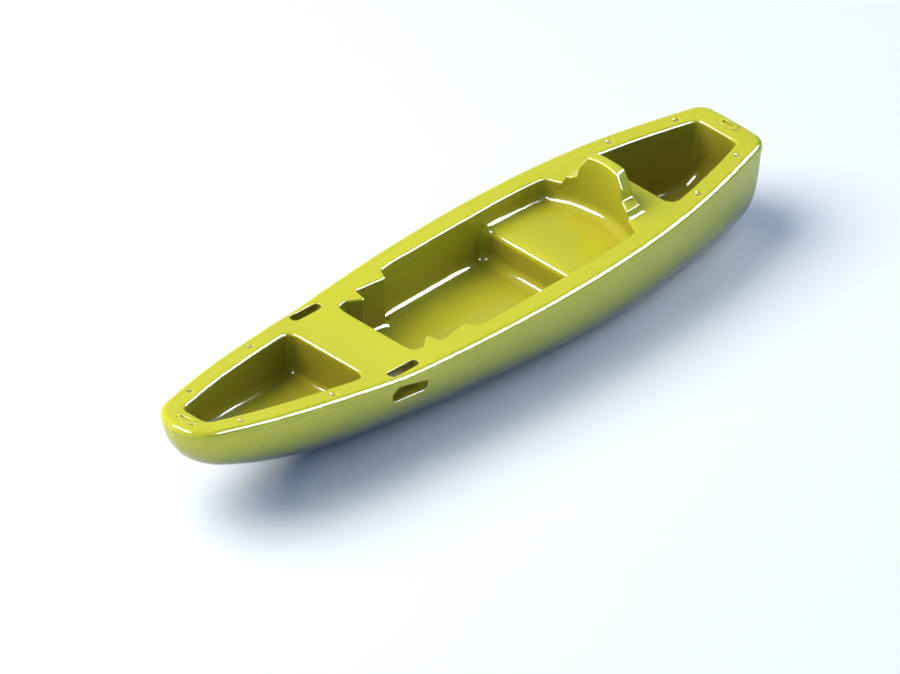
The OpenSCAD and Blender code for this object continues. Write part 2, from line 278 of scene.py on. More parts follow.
@dataclass
class Cage:
    """The points and faces of a piece while it is drawn, in millimetres."""

    points: list[Vector] = field(default_factory=list)
    faces: list[tuple[int, ...]] = field(default_factory=list)
    loose: set[int] = field(default_factory=set)
    seen: dict[tuple[int, ...], int] = field(default_factory=dict)

    def point(self, place: Sequence[float]) -> int:
        """Returns the number of the cage point at a place, which is made if it is new."""
        key = tuple(round(c * 100) for c in place)
        if key not in self.seen:
            self.seen[key] = len(self.points)
            self.points.append(Vector(place))
        return self.seen[key]

    def ring(self, places: Sequence[Sequence[float]]) -> list[int]:
        """Returns the numbers of the cage points at some places."""
        return [self.point(p) for p in places]

    def face(self, *ids: int) -> None:
        """Adds a face, leaving out any corner that repeats the one before it."""
        kept = [v for k, v in enumerate(ids) if v != ids[k - 1]]
        if len(set(kept)) == len(kept) > 2:
            self.faces.append(tuple(kept))

    def bridge(self, a: Sequence[int], b: Sequence[int], closed: bool = True) -> None:
        """Adds a band of faces between two rings of the same length."""
        for k in range(len(a) - (0 if closed else 1)):
            j = (k + 1) % len(a)
            self.face(a[k], a[j], b[j], b[k])

    def stack(self, rings: Sequence[Sequence[Sequence[float]]], closed: bool = True) -> list[int]:
        """Bridges each of some rings of places to the next, and returns the last one's numbers."""
        made = [self.ring(r) for r in rings]
        for a, b in zip(made, made[1:]):
            self.bridge(a, b, closed)
        return made[-1]

    def cap(self, ring: Sequence[int]) -> None:
        """Closes a small round ring with triangles to its middle."""
        middle = self.point(sum((self.points[i] for i in ring), Vector()) / len(ring))
        for k, i in enumerate(ring):
            self.face(i, ring[(k + 1) % len(ring)], middle)

    def fill(
        self,
        outer: Ring,
        holes: Sequence[Ring],
        lift: Callable[[float, float], Sequence[float]],
        lines: tuple[Sequence[float], Sequence[float]],
        clear: float = 9,
    ) -> None:
        """Fills the flat inside one ring and outside others.

        Args:
            outer: The ring round the area.
            holes: The rings that stay open.
            lift: Gives the place in space of a point on the flat.
            lines: Where grid lines cross the area, along each axis of the flat.
            clear: How far grid points stay from every ring.
        """
        loops = [np.array(r.flat, float) for r in (outer, *holes)]
        grid = np.array([(u, v) for u in lines[0] for v in lines[1]], float).reshape(-1, 2)
        keep = inside(grid, loops[0])
        for loop in loops[1:]:
            keep &= ~inside(grid, loop)
        grid = grid[keep]
        if len(grid):
            grid = grid[gap_to(grid, loops) > clear]
        ids = [i for r in (outer, *holes) for i in r.ids]
        edges, start = [], 0
        for loop in loops:
            n = len(loop)
            edges += [(start + k, start + (k + 1) % n) for k in range(n)]
            start += n
        flat = [Vector(p) for p in np.concatenate([*loops, grid])]
        verts, _, faces, source, _, _ = delaunay_2d_cdt(flat, edges, [], 0, 1e-4)
        number = []
        for place, origin in zip(verts, source):
            known = [k for k in origin if k < len(ids)]
            number.append(ids[known[0]] if known else self.point(lift(*place)))
        middles = np.array([sum((np.array(verts[k]) for k in f), np.zeros(2)) / len(f) for f in faces])
        keep = inside(middles, loops[0])
        for loop in loops[1:]:
            keep &= ~inside(middles, loop)
        for ok, f in zip(keep, faces):
            if ok:
                self.loose.add(len(self.faces))
                self.face(*(number[k] for k in f))

    def mesh(self, name: str, probe: Vector, towards: Vector) -> bpy.types.Mesh:
        """Makes the mesh and turns its faces the right way out.

        Args:
            name: The mesh's name.
            probe: A place, in millimetres; the face nearest to it sets which way all of them look.
            towards: The direction that this face has to look in.

        Returns:
            The mesh, in metres.
        """
        bm = bmesh.new()
        made = [bm.verts.new(p * MM) for p in self.points]
        loose = []
        for k, f in enumerate(self.faces):
            try:
                new = bm.faces.new([made[i] for i in f])
            except ValueError:
                continue
            new.smooth = True
            if k in self.loose:
                loose.append(new)
        bmesh.ops.join_triangles(
            bm, faces=loose, angle_face_threshold=math.radians(12), angle_shape_threshold=math.radians(50)
        )
        bmesh.ops.delete(bm, geom=[v for v in bm.verts if not v.link_faces], context="VERTS")
        bmesh.ops.recalc_face_normals(bm, faces=bm.faces)
        place = probe * MM
        near = min(bm.faces, key=lambda f: (f.calc_center_median() - place).length)
        if near.normal.dot(towards) < 0:
            bmesh.ops.reverse_faces(bm, faces=bm.faces)
        data = bpy.data.meshes.new(name)
        bm.to_mesh(data)
        bm.free()
        return data


def place_piece(
    data: bpy.types.Mesh, body: Body, finish: bpy.types.Material, nodes: Sequence[str]
) -> bpy.types.Object:
    """Puts a mesh in the scene as a piece of the kayak.

    Args:
        data: The mesh, in metres in the part's frame; its name becomes the piece's.
        body: The body that the piece rides on.
        finish: The material that dresses it.
        nodes: The CAD nodes that it stands for.

    Returns:
        The new object.
    """
    piece = bpy.data.objects.new(data.name, data)
    bpy.context.scene.collection.objects.link(piece)
    data.materials.clear()
    data.materials.append(finish)
    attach(piece, body.value)
    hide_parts(*nodes)
    log.info("%s: %d cage faces, on %s", piece.name, len(data.polygons), body.value)
    return piece


def add_skin(piece: bpy.types.Object, thickness: float, levels: int = 1) -> None:
    """Gives an open cage its wall thickness, inwards, and its smooth surface."""
    wall = piece.modifiers.new("wall", "SOLIDIFY")
    wall.thickness = thickness * MM
    wall.offset = -1
    wall.edge_crease_rim = 1.0
    wall.edge_crease_outer = 1.0
    wall.edge_crease_inner = 1.0
    add_smoothing(piece, levels)
    shade = piece.modifiers.new("shade", "WEIGHTED_NORMAL")
    shade.keep_sharp = False


def add_smoothing(piece: bpy.types.Object, levels: int) -> None:
    """Adds a subdivision surface with the same levels in the view and in the render."""
    surface = piece.modifiers.new("surface", "SUBSURF")
    surface.levels = levels
    surface.render_levels = levels


def add_bevel(piece: bpy.types.Object, width: float, segments: int = 3, angle: float = 35) -> None:
    """Rounds the edges of a piece that are sharper than an angle."""
    edge = piece.modifiers.new("edges", "BEVEL")
    edge.width = width * MM
    edge.segments = segments
    edge.limit_method = "ANGLE"
    edge.angle_limit = math.radians(angle)
    edge.harden_normals = False


# ---------------------------------------------------------------- the lines of the boat
@dataclass
class Lines:
    """The fair lines of the hull, from which both mouldings take their edges."""

    length: float = 2750
    deck_height: float = 345
    seam_drop: float = 26
    ramp_slope: float = 0.097
    ramp_start: float = 503
    ramp_blend: float = 52
    bow_rocker: float = 220
    rocker_start: float = 120
    rocker_power: float = 2.9
    bow_spine: float = 680
    bow_fan: float = 0.76
    stern_spine: float = 1100
    stern_fan: float = 0.3
    stern_rake: float = 0.15
    bottom_angle: float = math.radians(80)
    bow_corner_r: float = 90
    stern_corner_r: float = 48
    end_crown: float = 3
    side_steps: int = 60
    section_steps: int = 80
    section_bias: float = 1.7
    beam: tuple[Plan, ...] = (
        (-1375, 153), (-1270, 186), (-1065, 243), (-860, 285), (-600, 315), (-290, 328),
        (75, 319), (490, 285), (830, 237), (1060, 193), (1290, 132), (1375, 106),
    )
    full: tuple[Plan, ...] = (
        (-1375, 4.2), (-1100, 3.0), (-500, 3.05), (140, 2.2), (490, 1.85), (800, 1.85), (1375, 1.95),
    )

    @property
    def half_length(self) -> float:
        """Half of the overall length."""
        return self.length / 2

    @property
    def ramp_angle(self) -> float:
        """Angle of the bow deck, in radians."""
        return math.atan(self.ramp_slope)

    def half_beam(self, x: float) -> float:
        """Returns half the width across the gunwales at x."""
        return smooth(self.beam, x)

    def deck_top(self, x: float) -> float:
        """Returns the height of the deck at x."""
        d = x - self.ramp_start
        if d > self.ramp_blend:
            return self.deck_height + self.ramp_slope * d
        if d < -self.ramp_blend:
            return self.deck_height
        return self.deck_height + self.ramp_slope * (d + self.ramp_blend) ** 2 / (4 * self.ramp_blend)

    def spine_x(self, x: float) -> float:
        """Returns where the section that starts at gunwale place x meets the keel."""
        if x > self.bow_spine:
            return self.bow_spine + (x - self.bow_spine) * self.bow_fan
        if x < -self.stern_spine:
            return -self.stern_spine + (x + self.stern_spine) * self.stern_fan
        return x

    def keel_z(self, x: float) -> float:
        """Returns the height of the keel at x."""
        reach = self.bow_spine + (self.half_length - self.bow_spine) * self.bow_fan - self.rocker_start
        return self.bow_rocker * (max(x - self.rocker_start, 0) / reach) ** self.rocker_power

    def outline(self) -> Loop:
        """Returns the plan outline: bow middle, port side, stern middle, starboard side."""

        def end(side: int, r: float, across: int) -> Loop:
            """Returns half of one end, from its middle to the end of its corner arc."""
            tip = self.half_length - self.end_crown
            flat = self.half_beam(side * tip) - r
            run = [
                (side * (self.half_length - self.end_crown * (k / across) ** 2), flat * k / across)
                for k in range(across)
            ]
            for a in quarter(8):
                x = side * (tip - r * (1 - math.cos(a)))
                run.append((x, self.half_beam(x) - r * (1 - math.sin(a))))
            return run

        bow = end(1, self.bow_corner_r, 2)
        stern = end(-1, self.stern_corner_r, 5)
        x0, x1 = bow[-1][0], stern[-1][0]
        steps = [lerp(x0, x1, k / self.side_steps) for k in range(1, self.side_steps)]
        half = [*bow, *((x, self.half_beam(x)) for x in steps), *reversed(stern)]
        return [*half, *((x, -y) for x, y in reversed(half[1:-1]))]

    def wall(self, x: float, drop: float) -> tuple[float, float]:
        """Follows a hull section from its gunwale.

        Args:
            x: The gunwale place of the section.
            drop: How far down the section, from 0 at the deck to 1 at the keel.

        Returns:
            The section's width there as a share of the gunwale's, without and with the stern's rake.
        """
        n = smooth(self.full, x)
        a = math.asin(min(1.0, math.sin(self.bottom_angle) * drop ** (n / 2)))
        f = math.cos(a) ** (2 / n)
        astern = max(0.0, -self.stern_spine - x) / (self.half_length - self.stern_spine)
        return f, f * (1 - self.stern_rake * drop * astern)

    def section(self, p: Plan, rows: int) -> list[Vector]:
        """Returns evenly spaced points down the hull from the seam under an outline point to the bottom."""
        x, y = p
        k = self.spine_x(x)
        full = self.deck_top(x) - self.keel_z(k)
        n = smooth(self.full, x)
        top = self.seam_drop / full
        start = math.asin(math.sin(self.bottom_angle) * top ** (n / 2))
        fine = []
        for j in range(self.section_steps + 1):
            a = start + (self.bottom_angle - start) * (j / self.section_steps) ** self.section_bias
            g = (math.sin(a) / math.sin(self.bottom_angle)) ** (2 / n)
            w = self.wall(x, g)[1]
            fine.append(Vector((k + (x - k) * w, y * w, self.deck_top(x) - full * g)))
        run = [0.0]
        for a, b in zip(fine, fine[1:]):
            run.append(run[-1] + (b - a).length)
        points = []
        for r in range(rows + 1):
            want = run[-1] * r / rows
            j = next((i for i in range(len(run) - 1) if run[i + 1] >= want - 1e-9), len(run) - 2)
            span = run[j + 1] - run[j]
            points.append(fine[j].lerp(fine[j + 1], (want - run[j]) / span if span else 0.0))
        return points

    def side_y(self, x: float, z: float) -> float:
        """Returns how far the hull's side is from the centreline at a place amidships."""
        full = self.deck_top(x) - self.keel_z(x)
        return self.half_beam(x) * self.wall(x, (self.deck_top(x) - z) / full)[0]

    def transom_x(self, y: float, z: float) -> float:
        """Returns where the flat of the stern is at a place near its middle."""
        x = -self.half_length
        k = self.spine_x(x)
        w = self.wall(x, (self.deck_height - z) / self.deck_height)[1]
        flat = self.half_beam(x) - self.stern_corner_r
        crown = self.end_crown * (y / w / flat) ** 2
        return k + (x + crown - k) * w


# ---------------------------------------------------------------- hull moulding
@dataclass
class HullMoulding:
    """The lower skin: the hull, with the grips' side openings and the drain's recess in it."""

    lines: Lines
    wall: float = 5
    rows: int = 15
    bottom_steps: int = 6
    slot_x: float = 489
    lip_r: float = 5
    lip_support: float = 2.2
    drain_x: float = -1355
    drain_z: float = 262
    recess_r: float = 30
    recess_lip_r: float = 4
    recess_foot_r: float = 2.5
    recess_sides: int = 28
    gasket_r: float = 22
    bush_r: float = 15
    opening_span: Plan = (388, 592)
    opening_low: float = 222
    opening_grid: tuple[tuple[float, ...], ...] = ((370, 620, 22), (215, 325, 18))
    recess_span: int = 5
    recess_low: float = 214
    recess_grid: tuple[tuple[float, ...], ...] = ((-90, 91, 22.5), (205, 325, 20))

    def side_opening(self) -> Loop:
        """Returns the outline of a grip's side opening, along the hull and up."""
        x = self.slot_x
        corners = [
            (x + 76, 278, 12), (x + 62, 243, 10), (x - 70, 241, 5),
            (x - 76, 252, 5), (x - 74, 282, 8), (x + 58, 312, 12),
        ]
        return spaced(rounded(corners, 3), 16)

    def build(self, finish: bpy.types.Material) -> bpy.types.Object:
        """Builds the hull skin and returns it."""
        cage = Cage()
        outline = self.lines.outline()
        n, half = len(outline), len(outline) // 2
        columns = [self.lines.section(p, self.rows) for p in outline]
        ids = [[cage.point(columns[i][k]) for i in range(n)] for k in range(self.rows + 1)]

        def depth(columns_in: Sequence[int], low: float) -> int:
            """Returns the first row that lies under a height in all of some columns."""
            return next(k for k in range(self.rows) if max(columns[i][k].z for i in columns_in) < low)

        port = [i for i in range(half) if self.opening_span[0] < outline[i][0] < self.opening_span[1]]
        tail = list(range(half - self.recess_span, half + self.recess_span + 1))
        side_row, tail_row = depth(port, self.opening_low), depth(tail, self.recess_low)
        starboard = [n - i for i in reversed(port)]
        windows = [(port, side_row), (starboard, side_row), (tail, tail_row)]
        skipped = {(i, k) for span, low in windows for i in span[:-1] for k in range(low)}
        for k in range(self.rows):
            for i in range(n):
                if (i, k) not in skipped:
                    j = (i + 1) % n
                    cage.face(ids[k][i], ids[k][j], ids[k + 1][j], ids[k + 1][i])
        self.close_bottom(cage, ids[-1])
        for span, side in ((port, 1), (starboard, -1)):
            self.cut_grip(cage, self.window(cage, ids, span, side_row, (0, 2)), side)
        self.cut_recess(cage, self.window(cage, ids, tail, tail_row, (1, 2)))
        data = cage.mesh("hull_skin", Vector((0, self.lines.side_y(0, 250), 250)), PORT)
        piece = place_piece(data, Body.HULL, finish, ["hull_shell"])
        add_skin(piece, self.wall)
        return piece

    def close_bottom(self, cage: Cage, ring: Sequence[int]) -> None:
        """Joins the two sides of the lowest ring with strips across the bottom."""
        n, half = len(ring), len(ring) // 2
        rows = []
        for i in range(1, half):
            a, b = cage.points[ring[i]], cage.points[ring[n - i]]
            between = [cage.point(a.lerp(b, k / self.bottom_steps)) for k in range(1, self.bottom_steps)]
            rows.append([ring[i], *between, ring[n - i]])
        for a, b in zip(rows, rows[1:]):
            cage.bridge(a, b, closed=False)
        for tip, row in ((ring[0], rows[0]), (ring[half], rows[-1])):
            for a, b in zip(row, row[1:]):
                cage.face(tip, a, b)

    @staticmethod
    def window(
        cage: Cage, ids: Sequence[Sequence[int]], span: Sequence[int], low: int, axes: tuple[int, int]
    ) -> Ring:
        """Returns the ring round an area of the hull that is left open for a cut-out.

        Args:
            cage: The hull's cage.
            ids: Its points, row by row from the seam down.
            span: The columns that the area lies between.
            low: The row at its lower edge.
            axes: The axes of space that its flat is seen along.

        Returns:
            The ring.
        """
        down = [ids[k][span[-1]] for k in range(1, low)]
        back = [ids[low][i] for i in reversed(span)]
        up = [ids[k][span[0]] for k in range(low - 1, 0, -1)]
        run = [*(ids[0][i] for i in span), *down, *back, *up]
        return Ring(run, [(cage.points[i][axes[0]], cage.points[i][axes[1]]) for i in run])

    def cut_grip(self, cage: Cage, window: Ring, side: int) -> None:
        """Draws a grip's side opening, with a rounded lip that rolls into the hull."""
        loop = self.side_opening()
        out = -inward(loop)

        def lip(offset: float, depth: float) -> list[Vector]:
            """Returns the opening's outline, moved out along the side and sunk into it."""
            places = [(x + dx * offset, z + dz * offset) for (x, z), (dx, dz) in zip(loop, out)]
            return [Vector((x, side * (self.lines.side_y(x, z) - depth), z)) for x, z in places]

        r = self.lip_r
        support = lip(r + self.lip_support, 0)
        cage.stack([support, *(lip(r * (1 - math.sin(a)), r * (1 - math.cos(a))) for a in quarter(3))])
        edge = Ring(cage.ring(support), [(p.x, p.z) for p in support])
        lines = tuple(np.arange(*span) for span in self.opening_grid)
        cage.fill(window, [edge], lambda x, z: (x, side * self.lines.side_y(x, z), z), lines)

    def cut_recess(self, cage: Cage, window: Ring) -> None:
        """Draws the round recess in the stern where the drain sits."""

        def lip(radius: float, depth: float) -> list[Vector]:
            """Returns a circle on the stern's face, sunk by a depth."""
            places = [(y, z + self.drain_z) for y, z in circle(radius, self.recess_sides)]
            return [Vector((self.lines.transom_x(y, z) + depth, y, z)) for y, z in places]

        def flat(radius: float, depth: float) -> list[Vector]:
            """Returns a circle at a depth behind the recess's floor."""
            loop = circle(radius, self.recess_sides)
            return [Vector((self.drain_x + depth, y, z + self.drain_z)) for y, z in loop]

        r, foot_r, bush = self.recess_lip_r, self.recess_foot_r, self.bush_r
        rim = [lip(self.recess_r + r * (1 - math.sin(a)), r * (1 - math.cos(a))) for a in quarter(3)]
        foot = [
            flat(self.recess_r - foot_r * (1 - math.cos(a)), -foot_r * (1 - math.sin(a))) for a in quarter(3)
        ]
        support = lip(self.recess_r + r + 2, 0)
        floor = [flat(self.gasket_r, 0), flat(bush + 1, 0), flat(bush, 1), flat(bush, self.wall - 1)]
        cage.stack([support, *rim, *foot, *floor])
        edge = Ring(cage.ring(support), [(p.y, p.z) for p in support])
        lines = tuple(np.arange(*span) for span in self.recess_grid)
        cage.fill(window, [edge], lambda y, z: (self.lines.transom_x(y, z), y, z), lines)


# ---------------------------------------------------------------- deck moulding
@dataclass
class FloorLine:
    """A well's floor as a line in length and height, followed from the bow aft, with square ends."""

    corners: list[tuple[float, float, float]]
    steps: int = 5
    spacing: float = 45

    def __post_init__(self) -> None:
        """Rounds the line's corners and measures along it."""
        self.line = np.array(spaced(rounded(self.corners, self.steps), self.spacing, closed=False))
        run = np.linalg.norm(np.diff(self.line, axis=0), axis=1)
        self.run = np.concatenate([[0], np.cumsum(run)])
        tangent = np.diff(self.line, axis=0) / run[:, None]
        normal = np.stack([tangent[:, 1], -tangent[:, 0]], 1)
        both = np.concatenate([normal[:1], normal[1:] + normal[:-1], normal[-1:]])
        self.normals = both / np.linalg.norm(both, axis=1)[:, None]

    def at(self, u: float) -> Plan:
        """Returns the length and height at a distance u along the line."""
        x, z = (float(np.interp(u, self.run, self.line[:, axis])) for axis in (0, 1))
        return x, z

    def up(self, u: float) -> Vector:
        """Returns the direction square to the floor at a distance u along the line."""
        x, z = (np.interp(u, self.run, self.normals[:, axis]) for axis in (0, 1))
        return Vector((x, 0, z)).normalized()

    def find(self, x: float) -> float:
        """Returns the distance along the line where it reaches x."""
        return float(np.interp(-x, -self.line[:, 0], self.run))


@dataclass
class Column:
    """One upright of a well's wall."""

    crest: Vector
    out: Vector
    foot: Plan
    up: Vector = field(default_factory=lambda: UP.copy())


@dataclass
class Well:
    """A recess in the deck: rounded rim, wall, rounded foot and floor."""

    floor: FloorLine
    rim_r: float
    foot_r: Callable[[float], float]
    wall_steps: int = 3
    support: float = 3.5
    full_support_r: float = 12
    bend: Callable[[Vector], Vector] | None = None
    dish: Callable[[float, float], float] | None = None

    def surface(self, u: float, y: float) -> Vector:
        """Returns the point of the floor at a distance u along it and y across."""
        x, z = self.floor.at(u)
        return Vector((x, y, z - (self.dish(u, y) if self.dish else 0)))

    def past(self, r: float) -> float:
        """Returns how far the last ring of the floor lies past a foot of a radius."""
        return self.support * min(1.0, r / self.full_support_r)

    def build(self, cage: Cage, columns: Sequence[Column]) -> tuple[list[Vector], list[float]]:
        """Draws the well.

        Args:
            cage: The cage it is drawn in.
            columns: The wall's uprights, in order round the well.

        Returns:
            The places where the rim runs out onto the surface round the well, and how far past
            each of them the next ring can go.
        """
        low = [c.foot for c in columns]
        into = inward(low)
        free = room(low, into, max(self.foot_r(u) for u, _ in low) + self.support)
        radii = []
        for c, (nu, _), spare in zip(columns, into, free):
            slope = abs(nu * self.floor.up(c.foot[0]).x)
            radii.append(min(self.foot_r(c.foot[0]) * (1 - min(slope, 1)) ** 0.5, 0.85 * spare))
        plan = [(c.crest.x, c.crest.y) for c in columns]
        out = np.array([(c.out.x, c.out.y) for c in columns])
        spare = room(plan, out, self.rim_r + self.support)
        rims = [min(self.rim_r, 0.9 * s) for s in spare]

        def rim(a: float) -> list[Vector]:
            """Returns the ring at an angle round the rim, from the wall to the surface."""
            return [
                c.crest + c.out * (r * (1 - math.cos(a))) - c.up * (r * (1 - math.sin(a)))
                for c, r in zip(columns, rims)
            ]

        def foot(a: float, beyond: bool = False) -> list[Vector]:
            """Returns the ring at an angle round the foot, from the wall to the floor and beyond."""
            ring = []
            for c, (nu, ny), r in zip(columns, into, radii):
                reach = r * (1 - math.cos(a)) + (self.past(r) if beyond else 0)
                u = c.foot[0] + nu * reach
                p = self.surface(u, c.foot[1] + ny * reach)
                ring.append(p + self.floor.up(u) * (r * (1 - math.sin(a))))
            return ring

        over = [rim(a) for a in reversed(quarter(4))]
        under = [foot(a) for a in quarter(5)]
        between = []
        for k in range(1, self.wall_steps):
            ring = [a.lerp(b, k / self.wall_steps) for a, b in zip(over[-1], under[0])]
            between.append([self.bend(p) for p in ring] if self.bend else ring)
        last = foot(math.pi / 2, beyond=True)
        ids = cage.stack([*over, *between, *under, last])
        flat = []
        for (u, y), (nu, ny), r in zip(low, into, radii):
            reach = r + self.past(r)
            flat.append((u + nu * reach, y + ny * reach))
        ring = Ring([], [])
        for i, p in zip(ids, flat):
            if not ring.ids or i != ring.ids[-1]:
                ring.ids.append(i)
                ring.flat.append(p)
        wide = max(abs(y) for _, y in flat)
        lines = (self.floor.run, np.linspace(-wide, wide, 2 * math.ceil(wide / 40) + 1))
        cage.fill(ring, [], self.surface, lines)
        return over[0], [0.97 * s - r for s, r in zip(spare, rims)]


@dataclass
class Backrest:
    """The moulded back panel: a hollowed front, a stepped and crowned outline, and a flat rear."""

    deck: float = 345
    centre_x: float = -321
    curve_r: float = 400
    rear_x: float = -762
    half_width: float = 186
    edge_r: float = 9
    base_r: float = 13
    side_blend: float = 22
    spacing: float = 15

    def front_x(self, y: float) -> float:
        """Returns where the hollowed front face is, a distance y across."""
        return self.centre_x - math.sqrt(self.curve_r**2 - y * y)

    def outline(self) -> Loop:
        """Returns the port half of the panel's outline, across and up, from the deck to the middle."""
        corners = [
            (self.half_width, self.deck, 0), (163, self.deck, 5), (149, 372, 6), (111, 389, 8),
            (105, 428, 16), (70, 482, 14), (35, 487, 20), (0, 488, 0),
        ]
        closed = rounded([*corners, (0, 200, 0), (self.half_width, 200, 0)], 3)[:-2]
        return spaced(closed, self.spacing, closed=False)

    def columns(self, floor: FloorLine) -> list[Column]:
        """Returns the uprights of the port half of the panel, from its side to the middle."""
        line = np.array(self.outline())
        run = np.concatenate([[0], np.cumsum(np.linalg.norm(np.diff(line, axis=0), axis=1))])
        tangent = np.diff(line, axis=0) / np.diff(run)[:, None]
        normal = np.stack([tangent[:, 1], -tangent[:, 0]], 1)
        both = np.concatenate([normal[:1], normal[1:] + normal[:-1], [[0, 2]]])
        both /= np.linalg.norm(both, axis=1)[:, None]
        made = []
        for (y, z), (ny, nz), s in zip(line, both, run / run[-1]):
            plan_out = Vector((self.front_x(y) - self.centre_x, y, 0)).normalized()
            w = ease((z - self.deck) / self.side_blend)
            low_y = self.half_width * (1 - s)
            made.append(
                Column(
                    crest=Vector((self.front_x(y), y, z)),
                    out=plan_out.lerp(Vector((-1, 0, 0)), w).normalized(),
                    foot=(floor.find(self.front_x(low_y)), low_y),
                    up=Vector((0, ny, nz)),
                )
            )
        return made

    def over_the_top(self, column: Column, rim: Vector) -> list[Vector]:
        """Follows one column over the panel's edge, down its rear face and out onto the deck.

        Args:
            column: The upright.
            rim: Where its rounded front edge ends.

        Returns:
            The places of the rings behind the front edge.
        """
        tall = max(column.crest.z - self.deck, 0)
        r, base = min(self.edge_r, tall / 2), min(self.base_r, tall / 2)
        edge = Vector((self.rear_x, rim.y, rim.z))
        low_y = column.foot[1]
        steps = [rim.lerp(edge + Vector((r, 0, 0)), 0.5)]
        for a in quarter(3):
            steps.append(edge + Vector((r * (1 - math.sin(a)), 0, 0)) - column.up * (r * (1 - math.cos(a))))
        floor_line = Vector((self.rear_x, low_y, self.deck + base))
        steps += [steps[-1].lerp(floor_line, k / 3) for k in (1, 2)]
        for a in quarter(3):
            steps.append(floor_line + Vector((-base * (1 - math.cos(a)), 0, -base * math.sin(a))))
        return steps


@dataclass
class DeckMoulding:
    """The upper skin: gunwale, wells, cockpit, backrest, grip slots, bosses and insert dimples."""

    lines: Lines
    back: Backrest = field(default_factory=Backrest)
    wall: float = 5
    gunwale_r: float = 20
    gunwale_support: float = 0.4
    seam_band: float = 2.5
    rim_width: float = 82
    end_rim_r: float = 13
    cockpit_rim_r: float = 9
    well_front: float = 1265
    well_aft: float = 620
    stern_well_front: float = -867
    stern_well_aft: float = -1284
    stern_curve_r: float = 130
    stern_foot_r: float = 30
    bow_foot_radii: Plan = (58, 27)
    bow_floor: float = 190
    stern_floor: float = 72
    footwell_floor: float = 138
    seat_height: float = 264
    seat_front: float = -384
    seat_hollow: float = 7
    cockpit_foot_radii: tuple[float, float, float] = (32, 26, 44)
    straight: Plan = (-200, -467)
    straight_y: Plan = (240, 238)
    rear_from: float = -600
    slot_x: float = 489
    slot_y: float = 238
    slot_size: Plan = (138, 36)
    slot_edge_r: float = 2.8
    bow_fixings: tuple[Plan, ...] = ((1163, 126), (793, 202))
    stern_fixings: tuple[Plan, ...] = ((-975, 219), (-1232, 150))
    boss_x: Plan = (1313, -1336)
    dimple_depth: float = 4
    socket_r: float = 8.1
    insert_length: float = 18
    grid_astern: tuple[float, ...] = (-1340, 450, 38)
    grid_ahead: tuple[float, ...] = (590, 1350, 38)
    grid_across: tuple[float, ...] = (-300, 301, 30)

    def build(self, finish: bpy.types.Material) -> bpy.types.Object:
        """Builds the deck skin and returns it."""
        cage = Cage()
        outer = self.gunwale(cage)
        holes = [self.bow_well(cage), self.cockpit(cage), self.stern_well(cage)]
        holes += [self.grip_slot(cage, side) for side in (1, -1)]
        fixings = [(x, s * y) for x, y in (*self.bow_fixings, *self.stern_fixings) for s in (1, -1)]
        holes += [self.dimple(cage, x, y) for x, y in fixings]
        holes += [self.boss(cage, x) for x in self.boss_x]
        bend, blend = self.lines.ramp_start, self.lines.ramp_blend
        ramp = np.linspace(bend - blend, bend + blend, 9)
        along = [*np.arange(*self.grid_astern), *ramp, *np.arange(*self.grid_ahead)]
        across = np.arange(*self.grid_across)
        cage.fill(outer, holes, lambda x, y: (x, y, self.lines.deck_top(x)), (along, across), 8)
        data = cage.mesh("deck_skin", Vector((500, 0, self.lines.deck_height)), UP)
        piece = place_piece(data, Body.HULL, finish, ["deck_shell"])
        add_skin(piece, self.wall)
        return piece

    def on_deck(self, x: float, y: float, drop: float = 0) -> Vector:
        """Returns the deck's surface at a place, or a point below it."""
        return Vector((x, y, self.lines.deck_top(x) - drop))

    def gunwale(self, cage: Cage) -> Ring:
        """Draws the outer edge, from the seam up and over the rounded gunwale."""
        outline = self.lines.outline()
        into = inward(outline)

        def ring(offset: float, drop: float) -> list[Vector]:
            """Returns the outline moved inwards, at a depth below the deck."""
            places = [(x + dx * offset, y + dy * offset) for (x, y), (dx, dy) in zip(outline, into)]
            return [self.on_deck(x, y, drop) for x, y in places]

        r, seam = self.gunwale_r, self.lines.seam_drop
        rings = [ring(r * (1 - math.cos(a)), r * (1 - math.sin(a))) for a in quarter(5)]
        last = ring(r + self.gunwale_support, 0)
        ids = cage.stack([ring(0, seam), ring(0, seam - self.seam_band), *rings, last])
        return Ring(ids, [(p.x, p.y) for p in last])

    def run_out(self, cage: Cage, columns: Sequence[Column], drawn: tuple[list[Vector], list[float]]) -> Ring:
        """Draws the last narrow band round a well, on the flat of the deck.

        Args:
            cage: The deck's cage.
            columns: The well's uprights.
            drawn: What the well's own build returned.

        Returns:
            The ring that the deck is filled up to.
        """
        places = [self.on_deck(*(p + c.out * reach).xy) for c, p, reach in zip(columns, *drawn)]
        cage.stack([places, drawn[0]])
        return Ring(cage.ring(places), [(p.x, p.y) for p in places])

    def plain_columns(self, loop: Sequence[Plan], into: np.ndarray, floor: FloorLine) -> list[Column]:
        """Returns the uprights of a wall that is the same outline from top to bottom.

        Args:
            loop: The outline.
            into: The way inwards at each of its corners.
            floor: The floor that the wall stands on.

        Returns:
            An upright at each corner.
        """
        return [
            Column(self.on_deck(x, y), Vector((-nx, -ny, 0)), (floor.find(x), y))
            for (x, y), (nx, ny) in zip(loop, into)
        ]

    def well_outline(self, stations: Sequence[Plan], rim: float, spacing: float = 34) -> Loop:
        """Returns the outline of an end well, which keeps its distance from the outer edge."""
        half = [(x, self.lines.half_beam(x) - rim, r) for x, r in stations]
        return spaced(rounded(both_sides(half), 5), spacing)

